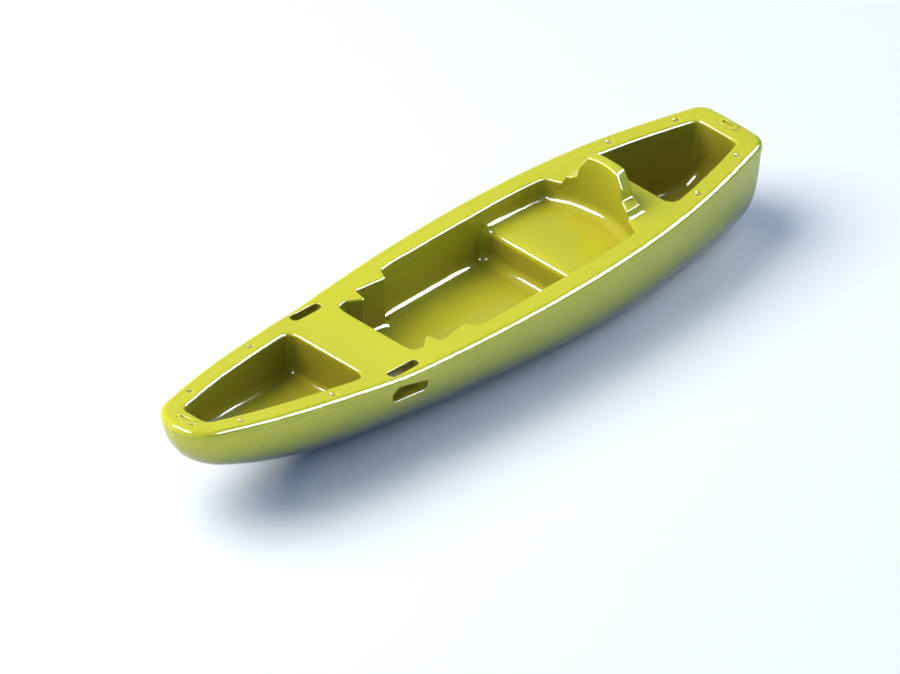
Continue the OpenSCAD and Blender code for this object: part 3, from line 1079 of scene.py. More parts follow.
    def bow_well(self, cage: Cage) -> Ring:
        """Draws the tank well in the bow, whose floor climbs forward."""
        middle = [(x, 0) for x in (1180, 1120, 1060, 1000, 945, 890, 830, 770, 715)]
        loop = self.well_outline([(self.well_front, 30), *middle, (self.well_aft, 34)], self.rim_width)
        z = self.bow_floor
        floor = FloorLine(
            [(1295, z + 128, 0), (1230, z + 98, 400), (1075, z + 62, 400), (870, z + 24, 400),
             (740, z + 6, 300), (590, z, 0)],
            steps=3,
        )
        ahead, behind = floor.find(self.well_front), floor.find(self.well_aft)
        radii = self.bow_foot_radii
        well = Well(floor, self.end_rim_r, lambda u: lerp(*radii, ease((u - ahead) / (behind - ahead))))
        columns = self.plain_columns(loop, inward(loop), floor)
        return self.run_out(cage, columns, well.build(cage, columns))

    def stern_well(self, cage: Cage) -> Ring:
        """Draws the tank well in the stern, whose floor curves up into its aft wall."""
        middle = [(x, 0) for x in (-910, -960, -1012, -1065, -1122, -1180, -1230)]
        stations = [(self.stern_well_front, 34), *middle, (self.stern_well_aft, 30)]
        loop = self.well_outline(stations, self.rim_width + 4)
        r = self.stern_curve_r
        curve = [
            (self.stern_well_aft + r * (1 - math.cos(a)), self.stern_floor + r * (1 - math.sin(a)), 0)
            for a in reversed(quarter(9))
        ]
        floor = FloorLine([(-840, self.stern_floor, 0), *curve])
        well = Well(floor, self.end_rim_r, lambda _: self.stern_foot_r)
        columns = self.plain_columns(loop, inward(loop), floor)
        return self.run_out(cage, columns, well.build(cage, columns))

    def cockpit_floor(self) -> FloorLine:
        """Returns the line of the footwell's floor, the seat's riser and the seat pan."""
        x, low, high = self.seat_front, self.footwell_floor, self.seat_height
        footwell = [(430, low, 0), (x, low, 40)]
        seat = [(x, high, 26), (-640, high - 2, 300), (-790, high + 5, 0)]
        return FloorLine([*footwell, *seat], steps=6)

    def cockpit_half(self) -> list[tuple[float, float, float]]:
        """Returns the port side of the cockpit's wall, with the radius of each corner."""
        ahead, behind = self.straight
        wide, aft_wide = self.straight_y
        return [
            (387, 150, 0), (379, 181, 15), (344, 191, 11), (283, 144, 11), (271, 210, 11), (144, 190, 12),
            (121, 233, 14), (75, wide, 0), (ahead, wide, 0), (behind, aft_wide, 0), (self.rear_from, 230, 0),
            (-662, 222, 22), (self.back.front_x(self.back.half_width), self.back.half_width, 0),
        ]

    def cockpit_columns(self, floor: FloorLine) -> list[Column]:
        """Returns the cockpit wall's uprights, which fan out at the seat's riser and over the backrest."""
        ahead, behind = self.straight
        edge = self.back.half_width
        loop = spaced(rounded(both_sides(self.cockpit_half()), 3), 30)
        loop = [p for p in loop if abs(p[1]) > edge + 0.5 or p[0] > self.rear_from]
        loop = [p for p in loop if not (behind + 1 < p[0] < ahead - 1)]
        split = next(k for k, p in enumerate(loop) if p[1] < 0 and p[0] < self.rear_from)
        port = self.back.columns(floor)
        rest = [Column(c.crest.copy(), c.out.copy(), c.foot, c.up.copy()) for c in port[-2::-1]]
        for c in rest:
            c.crest.y, c.out.y, c.up.y = -c.crest.y, -c.out.y, -c.up.y
            c.foot = (c.foot[0], -c.foot[1])
        into = inward([*loop[:split], *((self.back.front_x(y), y) for y in (edge, -edge)), *loop[split:]])
        plain = self.plain_columns(loop, np.delete(into, [split, split + 1], 0), floor)
        columns = [*plain[:split], *port, *rest, *plain[split:]]
        u0, u1 = floor.find(ahead), floor.find(behind)
        stops = [u for u in floor.run if u0 + 4 < u < u1 - 4]
        made: list[Column] = []
        for k, c in enumerate(columns):
            made.append(c)
            after = columns[(k + 1) % len(columns)]
            if {round(c.crest.x), round(after.crest.x)} == {ahead, behind}:
                aft = c.crest.x > after.crest.x
                for j, u in enumerate(stops if aft else stops[::-1]):
                    t = (j + 1) / (len(stops) + 1)
                    share = (floor.at(u)[0] - ahead) / (behind - ahead)
                    y = math.copysign(lerp(*self.straight_y, share), c.crest.y)
                    crest = c.crest.lerp(after.crest, t)
                    made.append(Column(crest, c.out.lerp(after.out, t).normalized(), (u, y)))
        return made

    def cockpit(self, cage: Cage) -> Ring:
        """Draws the cockpit with its foot steps, footwell, seat and backrest."""
        floor = self.cockpit_floor()
        columns = self.cockpit_columns(floor)
        seat_u, end_u = floor.find(self.seat_front - 60), floor.find(self.back.front_x(0))
        low_r, seat_r, back_r = self.cockpit_foot_radii

        def dish(u: float, y: float) -> float:
            """Returns how far the seat pan is hollowed at a place."""
            along = math.sin(math.pi * min(max((u - seat_u) / (end_u - 40 - seat_u), 0), 1)) ** 2
            return self.seat_hollow * along * ease((185 - abs(y)) / 120)

        def bend(p: Vector) -> Vector:
            """Keeps a point of the rear wall on its hollowed face."""
            if abs(p.y) <= self.back.half_width and p.x < self.rear_from:
                return Vector((self.back.front_x(p.y), p.y, p.z))
            return p

        def foot_r(u: float) -> float:
            """Returns the radius of the foot of the wall, along the floor."""
            return lerp(lerp(low_r, seat_r, ease((u - seat_u) / 80)), back_r, ease((u - end_u + 70) / 60))

        well = Well(floor, self.cockpit_rim_r, foot_r, wall_steps=4, bend=bend, dish=dish)
        rim, spare = well.build(cage, columns)
        behind = {id(c) for c in columns if c.crest.z > self.back.deck + 0.05}
        paths = [self.back.over_the_top(c, p) if id(c) in behind else [p] for c, p in zip(columns, rim)]
        steps = range(max(len(path) for path in paths))
        rings = [rim, *([path[min(k, len(path) - 1)] for path in paths] for k in steps)]
        cage.stack(rings)
        reach = [
            p + (Vector((-well.support, 0, 0)) if id(c) in behind else c.out * extra)
            for c, p, extra in zip(columns, rings[-1], spare)
        ]
        places = [self.on_deck(*p.xy) for p in reach]
        cage.bridge(cage.ring(rings[-1]), cage.ring(places))
        return Ring(cage.ring(places), [(p.x, p.y) for p in places])

    def grip_slot(self, cage: Cage, side: int) -> Ring:
        """Draws one of the grips' slots through the deck, with a small rolled edge."""
        length, width = self.slot_size
        r = self.slot_edge_r

        def ring(offset: float, drop: float) -> list[Vector]:
            """Returns the slot's outline moved outwards, at a depth."""
            loop = stadium(length + 2 * offset, width + 2 * offset, 8, 5)
            return [self.on_deck(self.slot_x + x, side * self.slot_y + y, drop) for x, y in loop]

        support = ring(r + 0.5, 0)
        edge = [ring(r * (1 - math.sin(a)), r * (1 - math.cos(a))) for a in quarter(3)]
        cage.stack([support, *edge, ring(0, self.wall)])
        return Ring(cage.ring(support), [(p.x, p.y) for p in support])

    def square_to_deck(self, x: float, y: float, loop: Sequence[Plan], drop: float) -> list[Vector]:
        """Returns a loop round a place on the deck, sunk square to the surface there."""
        tilt = math.sin(self.lines.ramp_angle) if x > self.lines.ramp_start else 0.0
        return [self.on_deck(x + dx, y + dy, drop) + Vector((tilt * drop, 0, 0)) for dx, dy in loop]

    def dimple(self, cage: Cage, x: float, y: float) -> Ring:
        """Draws a dimple and the socket in it that holds a threaded insert."""
        r, deep = self.socket_r, self.dimple_depth + self.insert_length
        dish = [(16.4, 0), (15.4, 0), (14.4, 0.35), (10.2, 3.2), (8.7, 3.9)]
        socket = [(r, 5), (r, 12), (r, deep), (7.2, deep + 0.8), (4, deep + 0.8)]
        rings = [self.square_to_deck(x, y, circle(radius), drop) for radius, drop in (*dish, *socket)]
        cage.cap(cage.stack(rings))
        return Ring(cage.ring(rings[0]), [(p.x, p.y) for p in rings[0]])

    def boss(self, cage: Cage, x: float) -> Ring:
        """Draws a raised end boss with the slot in its top."""

        def ring(length: float, width: float, height: float) -> list[Vector]:
            """Returns a round-ended outline across the deck at a height above it."""
            loop = [(-b, a) for a, b in stadium(length, width, 8, 4)]
            return self.square_to_deck(x, 0, loop, -height)

        side = [(88.4, 33.4, 0), (87, 32, 0.3), (86, 31, 1.6), (86, 31, 3), (85, 30, 4.4), (82.5, 27.5, 5)]
        rim = [(56, 20, 5), (52.6, 16.6, 4.8), (50.6, 14.6, 3.8), (50, 14, 2)]
        slot = [(50, 14, 0), (49, 13, -0.9), (46, 10, -1)]
        rings = [ring(*size) for size in (*side, *rim, *slot)]
        last = cage.stack(rings)
        floor = Ring(last, [(p.x, p.y) for p in rings[-1]])
        cage.fill(floor, [], lambda a, b: self.on_deck(a, b, 1), ([], []), 1)
        return Ring(cage.ring(rings[0]), [(p.x, p.y) for p in rings[0]])


# ---------------------------------------------------------------- turned parts and trim
def turned(name: str, profile: Sequence[Plan], places: Sequence[Matrix], steps: int = 32) -> bpy.types.Mesh:
    """Turns a profile round its axis and puts copies of the result in place.

    Args:
        name: The name of the mesh.
        profile: Radius and height, in millimetres, from the top of the outside to its bottom. It is
            closed unless both its ends are on the axis.
        places: Where each copy goes, in metres.
        steps: How many faces go round.

    Returns:
        One mesh that holds every copy.
    """
    on_axis = profile[0][0] == 0 and profile[-1][0] == 0
    verts = [(r * MM, 0, z * MM) for r, z in profile]
    edges = [(k, k + 1) for k in range(len(verts) - 1)] + ([] if on_axis else [(len(verts) - 1, 0)])
    line = bpy.data.meshes.new(name + "_line")
    line.from_pydata(verts, edges, [])
    blank = bpy.data.objects.new(name + "_line", line)
    bpy.context.scene.collection.objects.link(blank)
    screw = blank.modifiers.new("turn", "SCREW")
    screw.steps = screw.render_steps = steps
    screw.use_merge_vertices = True
    screw.merge_threshold = 1e-5
    shape = bpy.data.meshes.new_from_object(blank.evaluated_get(bpy.context.evaluated_depsgraph_get()))
    bpy.data.objects.remove(blank)
    bm = bmesh.new()
    for place in places:
        bm.from_mesh(shape)
        fresh = bm.verts[-len(shape.vertices):]
        bmesh.ops.transform(bm, matrix=place, verts=fresh)
    bmesh.ops.remove_doubles(bm, verts=bm.verts, dist=1e-5)
    bmesh.ops.recalc_face_normals(bm, faces=bm.faces)
    for f in bm.faces:
        f.smooth = True
    for e in bm.edges:
        e.smooth = len(e.link_faces) != 2 or e.calc_face_angle() < math.radians(38)
    data = bpy.data.meshes.new(name)
    bm.to_mesh(data)
    bm.free()
    return data


@dataclass
class Inserts:
    """Blind threaded inserts moulded into the deck, for a line, a mount or a screwed-down cover."""

    deck: DeckMoulding
    outer_r: float = 7.6
    thread_r: float = 3.4
    length: float = 18
    pitch: float = 1.25
    thread_depth: float = 0.6
    bore: float = 15

    def profile(self) -> list[Plan]:
        """Returns the insert's half section, from the middle of its bore over the top and down."""
        inner: list[Plan] = [(0, -self.bore), (self.thread_r, -self.bore)]
        turns = int((self.bore - 1.5) / self.pitch)
        for k in range(turns):
            z = -self.bore + 0.5 + k * self.pitch
            inner += [(self.thread_r, z), (self.thread_r + self.thread_depth, z + self.pitch / 2)]
        r = self.outer_r
        top = [(self.thread_r, -0.9), (self.thread_r + 0.9, 0), (r - 0.6, 0), (r, -0.6)]
        grooves = [(r, -5), (r - 0.8, -5.6), (r - 0.8, -6.8), (r, -7.4), (r, -11), (r - 0.8, -11.6),
                   (r - 0.8, -12.8), (r, -13.4)]
        foot = [(r, -self.length + 0.6), (r - 0.6, -self.length), (0, -self.length)]
        return [*inner, *top, *grooves, *foot]

    def build(self, finish: bpy.types.Material) -> None:
        """Builds the bow's and the stern's inserts."""
        deck = self.deck
        for name, spots in (("bow_insert_set", deck.bow_fixings), ("stern_insert_set", deck.stern_fixings)):
            places = []
            for x, y in [(x, s * y) for x, y in spots for s in (1, -1)]:
                angle = -deck.lines.ramp_angle if x > deck.lines.ramp_start else 0.0
                spin = Matrix.Rotation(angle, 4, "Y")
                spot = deck.on_deck(x, y) * MM + spin @ Vector((0, 0, -deck.dimple_depth * MM))
                places.append(Matrix.Translation(spot) @ spin)
            data = turned(name, self.profile(), places)
            node = "bow_inserts" if name.startswith("bow") else "stern_inserts"
            place_piece(data, Body.HULL, finish, [node])


@dataclass
class SeamStrip:
    """The lap strip bonded behind the joint of the two skins, which stops short of the grip cups."""

    lines: Lines
    hull_wall: float = 5
    lap: float = 12
    thick: float = 3
    cups: Plan = (403, 575)

    def build(self, finish: bpy.types.Material) -> None:
        """Builds the strip."""
        drop, wall = self.lines.seam_drop, self.hull_wall + 0.3
        section = [
            (wall, drop - 5), (wall, drop - 1), (wall + 3, drop), (wall + 6, drop + self.lap),
            (wall + 6 + self.thick, drop + self.lap), (wall + 3 + self.thick, drop - 5),
        ]
        outline = self.lines.outline()
        into = inward(outline)
        n = len(outline)
        ahead = [i - n if i > n // 2 else i for i in range(n) if outline[i][0] > self.cups[1]]
        astern = [i for i in range(n) if outline[i][0] < self.cups[0]]
        cage = Cage()
        for run in (sorted(ahead), astern):
            rings = []
            for i in run:
                (x, y), (dx, dy) = outline[i], into[i]
                ring = []
                for offset, depth in section:
                    px, py = x + dx * offset, y + dy * offset
                    ring.append(Vector((px, py, self.lines.deck_top(px) - depth)))
                rings.append(cage.ring(ring))
            for a, b in zip(rings, rings[1:]):
                cage.bridge(a, b)
            cage.face(*rings[0])
            cage.face(*rings[-1])
        probe = Vector((0, self.lines.half_beam(0) - self.hull_wall, self.lines.deck_height - drop))
        data = cage.mesh("seam_lap_strip", probe, PORT)
        strip = place_piece(data, Body.HULL, finish, ["seam_strip"])
        add_bevel(strip, 0.5, 2)


@dataclass
class FoamBlocks:
    """Closed-cell foam between the skins: planks laid up and cut to fit."""

    plank: float = 38
    groove: float = 1.6
    edge_r: float = 3
    blocks: tuple[tuple[str, tuple[tuple[float, ...], ...]], ...] = (
        ("bow_foam", ((640, 860, -90, 90, 104, 178),)),
        ("footwell_foam", ((-340, 40, -130, 130, 25, 131), (60, 330, -110, 110, 36, 131))),
        ("seat_foam", ((-640, -414, -150, 150, 24, 253),)),
        ("stern_foam", ((-1140, -870, -105, 105, 26, 65),)),
        ("port_side_foam", ((-420, 120, 258, 284, 200, 315),)),
        ("starboard_side_foam", ((-420, 120, -284, -258, 200, 315),)),
    )

    def build(self, finish: bpy.types.Material) -> None:
        """Builds each block as a stack of planks with a shallow groove at each glue line."""
        for node, sizes in self.blocks:
            cage = Cage()
            for x0, x1, y0, y1, z0, z1 in sizes:
                count = max(1, round((z1 - z0) / self.plank))
                levels = []
                for k in range(count):
                    a, b = lerp(z0, z1, k / count), lerp(z0, z1, (k + 1) / count)
                    levels += [(a, self.groove if k else 0.0), (a + 2, 0.0), (b - 2, 0.0)]
                levels.append((z1, 0.0))
                rings = []
                for z, sink in levels:
                    corners = [
                        (x1 - sink, y0 + sink), (x1 - sink, y1 - sink),
                        (x0 + sink, y1 - sink), (x0 + sink, y0 + sink),
                    ]
                    rings.append(cage.ring([(x, y, z) for x, y in corners]))
                for a, b in zip(rings, rings[1:]):
                    cage.bridge(a, b)
                cage.face(*rings[0])
                cage.face(*rings[-1])
            top = Vector(((sizes[0][0] + sizes[0][1]) / 2, (sizes[0][2] + sizes[0][3]) / 2, sizes[0][5]))
            data = cage.mesh(node + "_block", top, UP)
            block = place_piece(data, Body.HULL, finish, [node])
            add_bevel(block, self.edge_r, 3, 60)


@dataclass
class Drain:
    """The stern drain: a bush through the hull, its gasket and nut, and a threaded plug with its seal."""

    face_x: float = -1355
    axis_z: float = 262
    hull_wall: float = 5
    flange_r: float = 24
    flange_h: float = 3
    bush_r: float = 14.5
    bush_length: float = 26
    gasket_h: float = 1.5
    plug_r: float = 11
    plug_length: float = 22
    gap: float = 0.3
    pitch: float = 3
    seal_r: float = 16
    seal_h: float = 2
    nut_r: float = 21
    nut_h: float = 8

    @property
    def bore(self) -> float:
        """Radius of the hole that the plug's shank goes through."""
        return self.plug_r + self.gap

    def place(self, out: float) -> Matrix:
        """Returns the place of a part that sits on the drain's axis, out from the hull's face."""
        spot = Vector((self.face_x - out, 0, self.axis_z)) * MM
        return Matrix.Translation(spot) @ Matrix.Rotation(-math.pi / 2, 4, "Y")

    def thread(self, r: float, top: float, bottom: float, depth: float) -> Loop:
        """Returns the half section of an outside thread as a row of ridges."""
        ridges: Loop = []
        z = top
        while z - self.pitch > bottom:
            ridges += [(r, z - 0.4), (r, z - 1.1), (r - depth, z - 1.9), (r - depth, z - 2.6)]
            z -= self.pitch
        return ridges

    def gasket(self) -> Loop:
        """Returns the half section of the flat ring under the bush's flange."""
        r, bore, h = self.flange_r, self.bush_r + self.gap, self.gasket_h
        return [(r - 1.4, h), (r - 1, h - 0.4), (r - 1, 0.4), (r - 1.4, 0), (bore, 0), (bore, h)]

    def bush(self) -> Loop:
        """Returns the half section of the bush: its stepped flange, its threaded barrel and its bore."""
        r, h, barrel, end, bore = self.flange_r, self.flange_h, self.bush_r, -self.bush_length, self.bore
        return [
            (bore + 1.2, h), (r - 5, h), (r - 4, h - 0.5), (r - 2.5, h - 0.6), (r - 1, h - 1.1),
            (r, h - 2.1), (r, 0.4), (r - 0.4, 0), (barrel, 0), *self.thread(barrel, -6, end + 1, 0.9),
            (barrel, end + 1), (barrel - 1, end), (bore, end), (bore, h - 1.2),
        ]

    def seal(self) -> Loop:
        """Returns the half section of the plug's flat seal, with rounded edges."""
        r, bore, top = self.seal_r, self.bore, self.seal_h
        return [
            (bore + 0.8, top), (r - 0.8, top), (r - 0.2, top - 0.5), (r, top / 2), (r - 0.2, 0.5),
            (r - 0.8, 0), (bore + 0.8, 0), (bore, 0.8), (bore, top - 0.8),
        ]

    def plug(self) -> Loop:
        """Returns the half section of the plug: its domed head and its threaded shank."""
        r, end = self.plug_r, -self.plug_length
        return [
            (0, 3.2), (13, 3.5), (16.6, 3.5), (17.6, 3.0), (18, 2.2), (18, 0.5), (17.5, 0), (r, 0),
            *self.thread(r, -1.2, end + 1, 0.8), (r, end + 1), (r - 1, end), (0, end),
        ]

    def build(self, black: bpy.types.Material, rubber: bpy.types.Material) -> None:
        """Builds the drain's pieces."""
        seal_out = self.gasket_h + self.flange_h + self.gap
        plug_out = seal_out + self.seal_h + self.gap
        turnings = [
            ("drain_gasket", "ring", self.gasket(), 0, 32, Body.HULL, Slot.RUBBER, rubber),
            ("drain_bush", "body", self.bush(), self.gasket_h, 48, Body.HULL, Slot.FITTING, black),
            ("drain_seal", "ring", self.seal(), seal_out, 48, Body.SEAL, Slot.RUBBER, rubber),
            ("drain_plug", "body", self.plug(), plug_out, 48, Body.PLUG, Slot.FITTING, black),
        ]
        for node, form, profile, out, steps, body, slot, finish in turnings:
            data = turned(f"{node}_{form}", profile, [self.place(out)], steps)
            place_piece(data, body, finish, [node])
        self.wing(plug_out, black)
        self.nut(black)

    def wing(self, plug_out: float, finish: bpy.types.Material) -> None:
        """Builds the finger grip on the plug's head: a waisted bar with a rounded top."""
        cage = Cage()
        rings = []
        for z, length, thick in ((3.2, 29, 6), (4.5, 28, 5), (8, 29, 4.6), (9.6, 28, 4.2), (10, 26, 3)):
            loop = []
            for a, b in stadium(length, thick, 5, 6):
                waist = 1 - 0.28 * (1 - (2 * a / length) ** 2)
                loop.append((a, b * waist, z))
            rings.append(loop)
        cage.stack(rings)
        cage.cap(cage.ring(rings[0]))
        cage.cap(cage.ring(rings[-1]))
        data = cage.mesh("drain_plug_wing", Vector((0, 0, 10)), UP)
        data.transform(self.place(plug_out))
        wing = place_piece(data, Body.PLUG, finish, [])
        add_smoothing(wing, 1)

    def nut(self, finish: bpy.types.Material) -> None:
        """Builds the hexagonal nut behind the hull's wall."""
        sides, radius, tall = 24, self.nut_r, self.nut_h
        bore = circle(self.bush_r + self.gap / 2, sides)

        def hexagon(size: float) -> Loop:
            """Returns a hexagon with points spread along its edges."""
            loop = []
            for k in range(sides):
                a = 2 * math.pi * k / sides
                off = (a % (math.pi / 3)) - math.pi / 6
                reach = size * math.cos(math.pi / 6) / math.cos(off)
                loop.append((reach * math.cos(a), reach * math.sin(a)))
            return loop

        def level(loop: Sequence[Plan], z: float) -> list[tuple[float, float, float]]:
            """Returns a loop at a height."""
            return [(x, y, z) for x, y in loop]

        round_top = [(x * 1.28, y * 1.28) for x, y in bore]
        cage = Cage()
        cage.stack([
            level(bore, tall), level(round_top, tall), level(hexagon(radius), tall - 1.4),
            level(hexagon(radius), 1.4), level(round_top, 0), level(bore, 0), level(bore, tall),
        ])
        data = cage.mesh("drain_nut_hex", Vector((17, 0, tall)), UP)
        for f in data.polygons:
            f.use_smooth = False
        data.transform(self.place(-self.hull_wall - tall - 0.5))
        nut = place_piece(data, Body.HULL, finish, ["drain_nut"])
        add_bevel(nut, 0.4, 2)


@dataclass
class GripCups:
    """The liners that join each deck slot to its side opening, which keep their CAD form."""

    nodes: tuple[str, str] = ("port_grip_cup", "starboard_grip_cup")

    def build(self, finish: bpy.types.Material) -> None:
        """Dresses both cups."""
        for name in self.nodes:
            node = frame["nodes"][name]
            node.data.materials.clear()
            node.data.materials.append(finish)
            log.info("%s: kept from the frame, with %s", name, finish.name)


# ---------------------------------------------------------------- finishes
Colour = tuple[float, float, float]
Socket = bpy.types.NodeSocket


@dataclass
class Wiring:
    """A node tree that is being wired up."""

    tree: bpy.types.NodeTree

    def node(self, kind: str, **values: float) -> bpy.types.Node:
        """Adds a node of a kind, with values for its inputs, named with underscores for spaces."""
        node = self.tree.nodes.new(kind)
        for name, value in values.items():
            node.inputs[name.replace("_", " ")].default_value = value
        return node

    def join(self, a: Socket, b: Socket) -> None:
        """Links an output to an input."""
        self.tree.links.new(a, b)

    def noise(self, at: Socket, scale: float, detail: float, distortion: float = 0) -> Socket:
        """Adds a noise texture and returns its value."""
        noise = self.node("ShaderNodeTexNoise", Scale=scale, Detail=detail, Distortion=distortion)
        self.join(at, noise.inputs["Vector"])
        return noise.outputs["Fac"]

    def remap(self, value: Socket, low: float, high: float, to_low: float, to_high: float) -> Socket:
        """Maps a value from one range to another, clamped."""
        node = self.node("ShaderNodeMapRange", From_Min=low, From_Max=high, To_Min=to_low, To_Max=to_high)
        self.join(value, node.inputs["Value"])
        return node.outputs["Result"]

    def times(self, a: Socket, b: Socket) -> Socket:
        """Multiplies two values."""
        node = self.node("ShaderNodeMath")
        node.operation = "MULTIPLY"
        self.join(a, node.inputs[0])
        self.join(b, node.inputs[1])
        return node.outputs[0]

    def mix(self, value: Socket, a: Colour | Socket, b: Colour | Socket) -> Socket:
        """Blends two colours by a value."""
        node = self.tree.nodes.new("ShaderNodeMix")
        node.data_type = "RGBA"
        self.join(value, node.inputs[0])
        for colour, socket in ((a, node.inputs[6]), (b, node.inputs[7])):
            if isinstance(colour, tuple):
                socket.default_value = (*colour, 1)
            else:
                self.join(colour, socket)
        return node.outputs[2]

    def stretched(self, at: Socket, scale: Colour) -> Socket:
        """Scales coordinates along each axis."""
        node = self.tree.nodes.new("ShaderNodeMapping")
        node.inputs["Scale"].default_value = scale
        self.join(at, node.inputs["Vector"])
        return node.outputs["Vector"]


class Sheet(Wiring):
    """A material with one surface shader."""

    def __init__(self, name: str) -> None:
        """Starts the material."""
        self.material = bpy.data.materials.new(name)
        self.material.use_nodes = True
        super().__init__(self.material.node_tree)
        self.tree.nodes.clear()
        self.surface = self.node("ShaderNodeBsdfPrincipled")
        out = self.node("ShaderNodeOutputMaterial")
        self.join(self.surface.outputs["BSDF"], out.inputs["Surface"])
        self.at = self.node("ShaderNodeTexCoord").outputs["Object"]

    def dress(self, colour: Socket, rough: Socket, height: Socket, strength: float, depth: float) -> None:
        """Feeds the surface its colour, its roughness and a bump in metres."""
        bump = self.node("ShaderNodeBump", Strength=strength, Distance=depth)
        self.join(height, bump.inputs["Height"])
        self.join(colour, self.surface.inputs["Base Color"])
        self.join(rough, self.surface.inputs["Roughness"])
        self.join(bump.outputs["Normal"], self.surface.inputs["Normal"])

    def group(self, tree: bpy.types.NodeTree, **values: float) -> bpy.types.Node:
        """Places a shared group in the material, with its own values."""
        node = self.tree.nodes.new("ShaderNodeGroup")
        node.node_tree = tree
        for name, value in values.items():
            node.inputs[name.replace("_", " ")].default_value = value
        self.join(self.at, node.inputs["Vector"])
        return node


class Effect(Enum):
    """Effects that several finishes share."""

    PEEL = "moulded_skin"
    SCUFF = "rubbed_scuffs"


def effect(kind: Effect) -> bpy.types.NodeTree:
    """Returns the node group of a shared effect, which is built when it is first asked for."""
    if kind.value in bpy.data.node_groups:
        return bpy.data.node_groups[kind.value]
    tree = bpy.data.node_groups.new(kind.value, "ShaderNodeTree")
    inputs = {Effect.PEEL: ("Grain", "Mottle"), Effect.SCUFF: ("Along", "Amount")}[kind]
    outputs = {Effect.PEEL: ("Height", "Gloss", "Shade"), Effect.SCUFF: ("Mask",)}[kind]
    tree.interface.new_socket("Vector", in_out="INPUT", socket_type="NodeSocketVector")
    for name in inputs:
        tree.interface.new_socket(name, in_out="INPUT", socket_type="NodeSocketFloat")
    for name in outputs:
        tree.interface.new_socket(name, in_out="OUTPUT", socket_type="NodeSocketFloat")
    wire = Wiring(tree)
    start, end = tree.nodes.new("NodeGroupInput"), tree.nodes.new("NodeGroupOutput")
    at = start.outputs["Vector"]
    if kind is Effect.PEEL:
        fine = wire.node("ShaderNodeTexNoise", Detail=2.0, Roughness=0.4)
        broad = wire.node("ShaderNodeTexNoise", Detail=3.0)
        for node, scale in ((fine, "Grain"), (broad, "Mottle")):
            wire.join(at, node.inputs["Vector"])
            wire.join(start.outputs[scale], node.inputs["Scale"])
        wire.join(fine.outputs["Fac"], end.inputs["Height"])
        wire.join(wire.remap(broad.outputs["Fac"], 0.3, 0.7, 0.0, 1.0), end.inputs["Shade"])
        wire.join(wire.remap(wire.noise(at, 23.0, 5.0), 0.35, 0.7, 0.0, 1.0), end.inputs["Gloss"])
    else:
        long_marks = wire.noise(wire.stretched(at, (3.0, 90.0, 60.0)), 4.0, 6.0, 0.4)
        patches = wire.noise(at, 5.0, 3.0)
        mask = wire.times(wire.remap(long_marks, 0.60, 0.66, 0, 1), wire.remap(patches, 0.5, 0.62, 0, 1))
        height = wire.node("ShaderNodeSeparateXYZ")
        wire.join(at, height.inputs[0])
        reach = wire.tree.nodes.new("ShaderNodeMapRange")
        reach.inputs["From Min"].default_value = 0.0
        reach.inputs["To Min"].default_value = 1.0
        reach.inputs["To Max"].default_value = 0.0
        wire.join(height.outputs["Z"], reach.inputs["Value"])
        wire.join(start.outputs["Along"], reach.inputs["From Max"])
        low = wire.times(mask, reach.outputs["Result"])
        wire.join(wire.times(low, start.outputs["Amount"]), end.inputs["Mask"])
    return tree


@dataclass(frozen=True)
class Plastic:
    """Moulded polyethylene: the colour of its pellets, its gloss, its orange peel, its scuffs, and painted
    shade where other surfaces are close by.
    """

    name: str
    base: Colour
    shade: Colour
    gloss: tuple[float, float] = (0.08, 0.12)
    peel: float = 0.025
    grain: float = 160.0
    scuff_reach: float = 0.12
    scuffs: float = 0.0
    # Colour of the painted shade that is mixed in where ambient occlusion finds close surfaces, and how far
    # it looks.
    recess: Colour | None = None
    painted_shade_reach: float = 0.45

    def build(self) -> bpy.types.Material:
        """Builds the material."""
        sheet = Sheet(self.name)
        skin = sheet.group(effect(Effect.PEEL), Grain=self.grain, Mottle=2.6)
        colour = sheet.mix(skin.outputs["Shade"], self.base, self.shade)
        # Painted shade: the colour darkens towards the recess colour where ambient occlusion is low, in the
        # wells and hollows and low on the hull.
        if self.recess:
            shade_occlusion = sheet.node("ShaderNodeAmbientOcclusion", Distance=self.painted_shade_reach)
            shade_occlusion.samples = 8
            open_share = sheet.remap(shade_occlusion.outputs["AO"], 0.35, 1.0, 0, 1)
            colour = sheet.mix(open_share, self.recess, colour)
        rough = sheet.remap(skin.outputs["Gloss"], 0, 1, *self.gloss)
        if self.scuffs:
            marks = sheet.group(effect(Effect.SCUFF), Along=self.scuff_reach, Amount=self.scuffs)
            pale = tuple(lerp(c, 0.8, 0.45) for c in self.base)
            colour = sheet.mix(marks.outputs["Mask"], colour, pale)
        sheet.surface.inputs["IOR"].default_value = 1.47
        first = sheet.tree.nodes.new("ShaderNodeLightPath").outputs["Is Glossy Ray"]
        sheet.join(sheet.remap(first, 0, 1, 0.5, 0.0), sheet.surface.inputs["Specular IOR Level"])
        sheet.dress(colour, rough, skin.outputs["Height"], self.peel, 0.0004)
        return sheet.material


@dataclass(frozen=True)
class Brass:
    """Turned brass with random tarnish; both its colours are kept very dark as painted shade, so the inserts
    read dark down in their sockets.
    """

    name: str = "turned_brass"
    shaded_brass: Colour = (0.16, 0.12, 0.05)
    shaded_tarnish: Colour = (0.07, 0.05, 0.025)

    def build(self) -> bpy.types.Material:
        """Builds the material."""
        sheet = Sheet(self.name)
        rings = sheet.noise(sheet.stretched(sheet.at, (60, 60, 2600)), 1.0, 3.0)
        tarnish = sheet.noise(sheet.at, 140.0, 4.0)
        # Painted shade mixed with random tarnish: both brass colours are darkened to stand for the shade in
        # the sockets.
        colour = sheet.mix(sheet.remap(tarnish, 0.4, 0.65, 0, 1), self.shaded_brass, self.shaded_tarnish)
        sheet.surface.inputs["Metallic"].default_value = 1.0
        sheet.dress(colour, sheet.remap(tarnish, 0.3, 0.7, 0.42, 0.6), rings, 0.25, 0.0001)
        return sheet.material


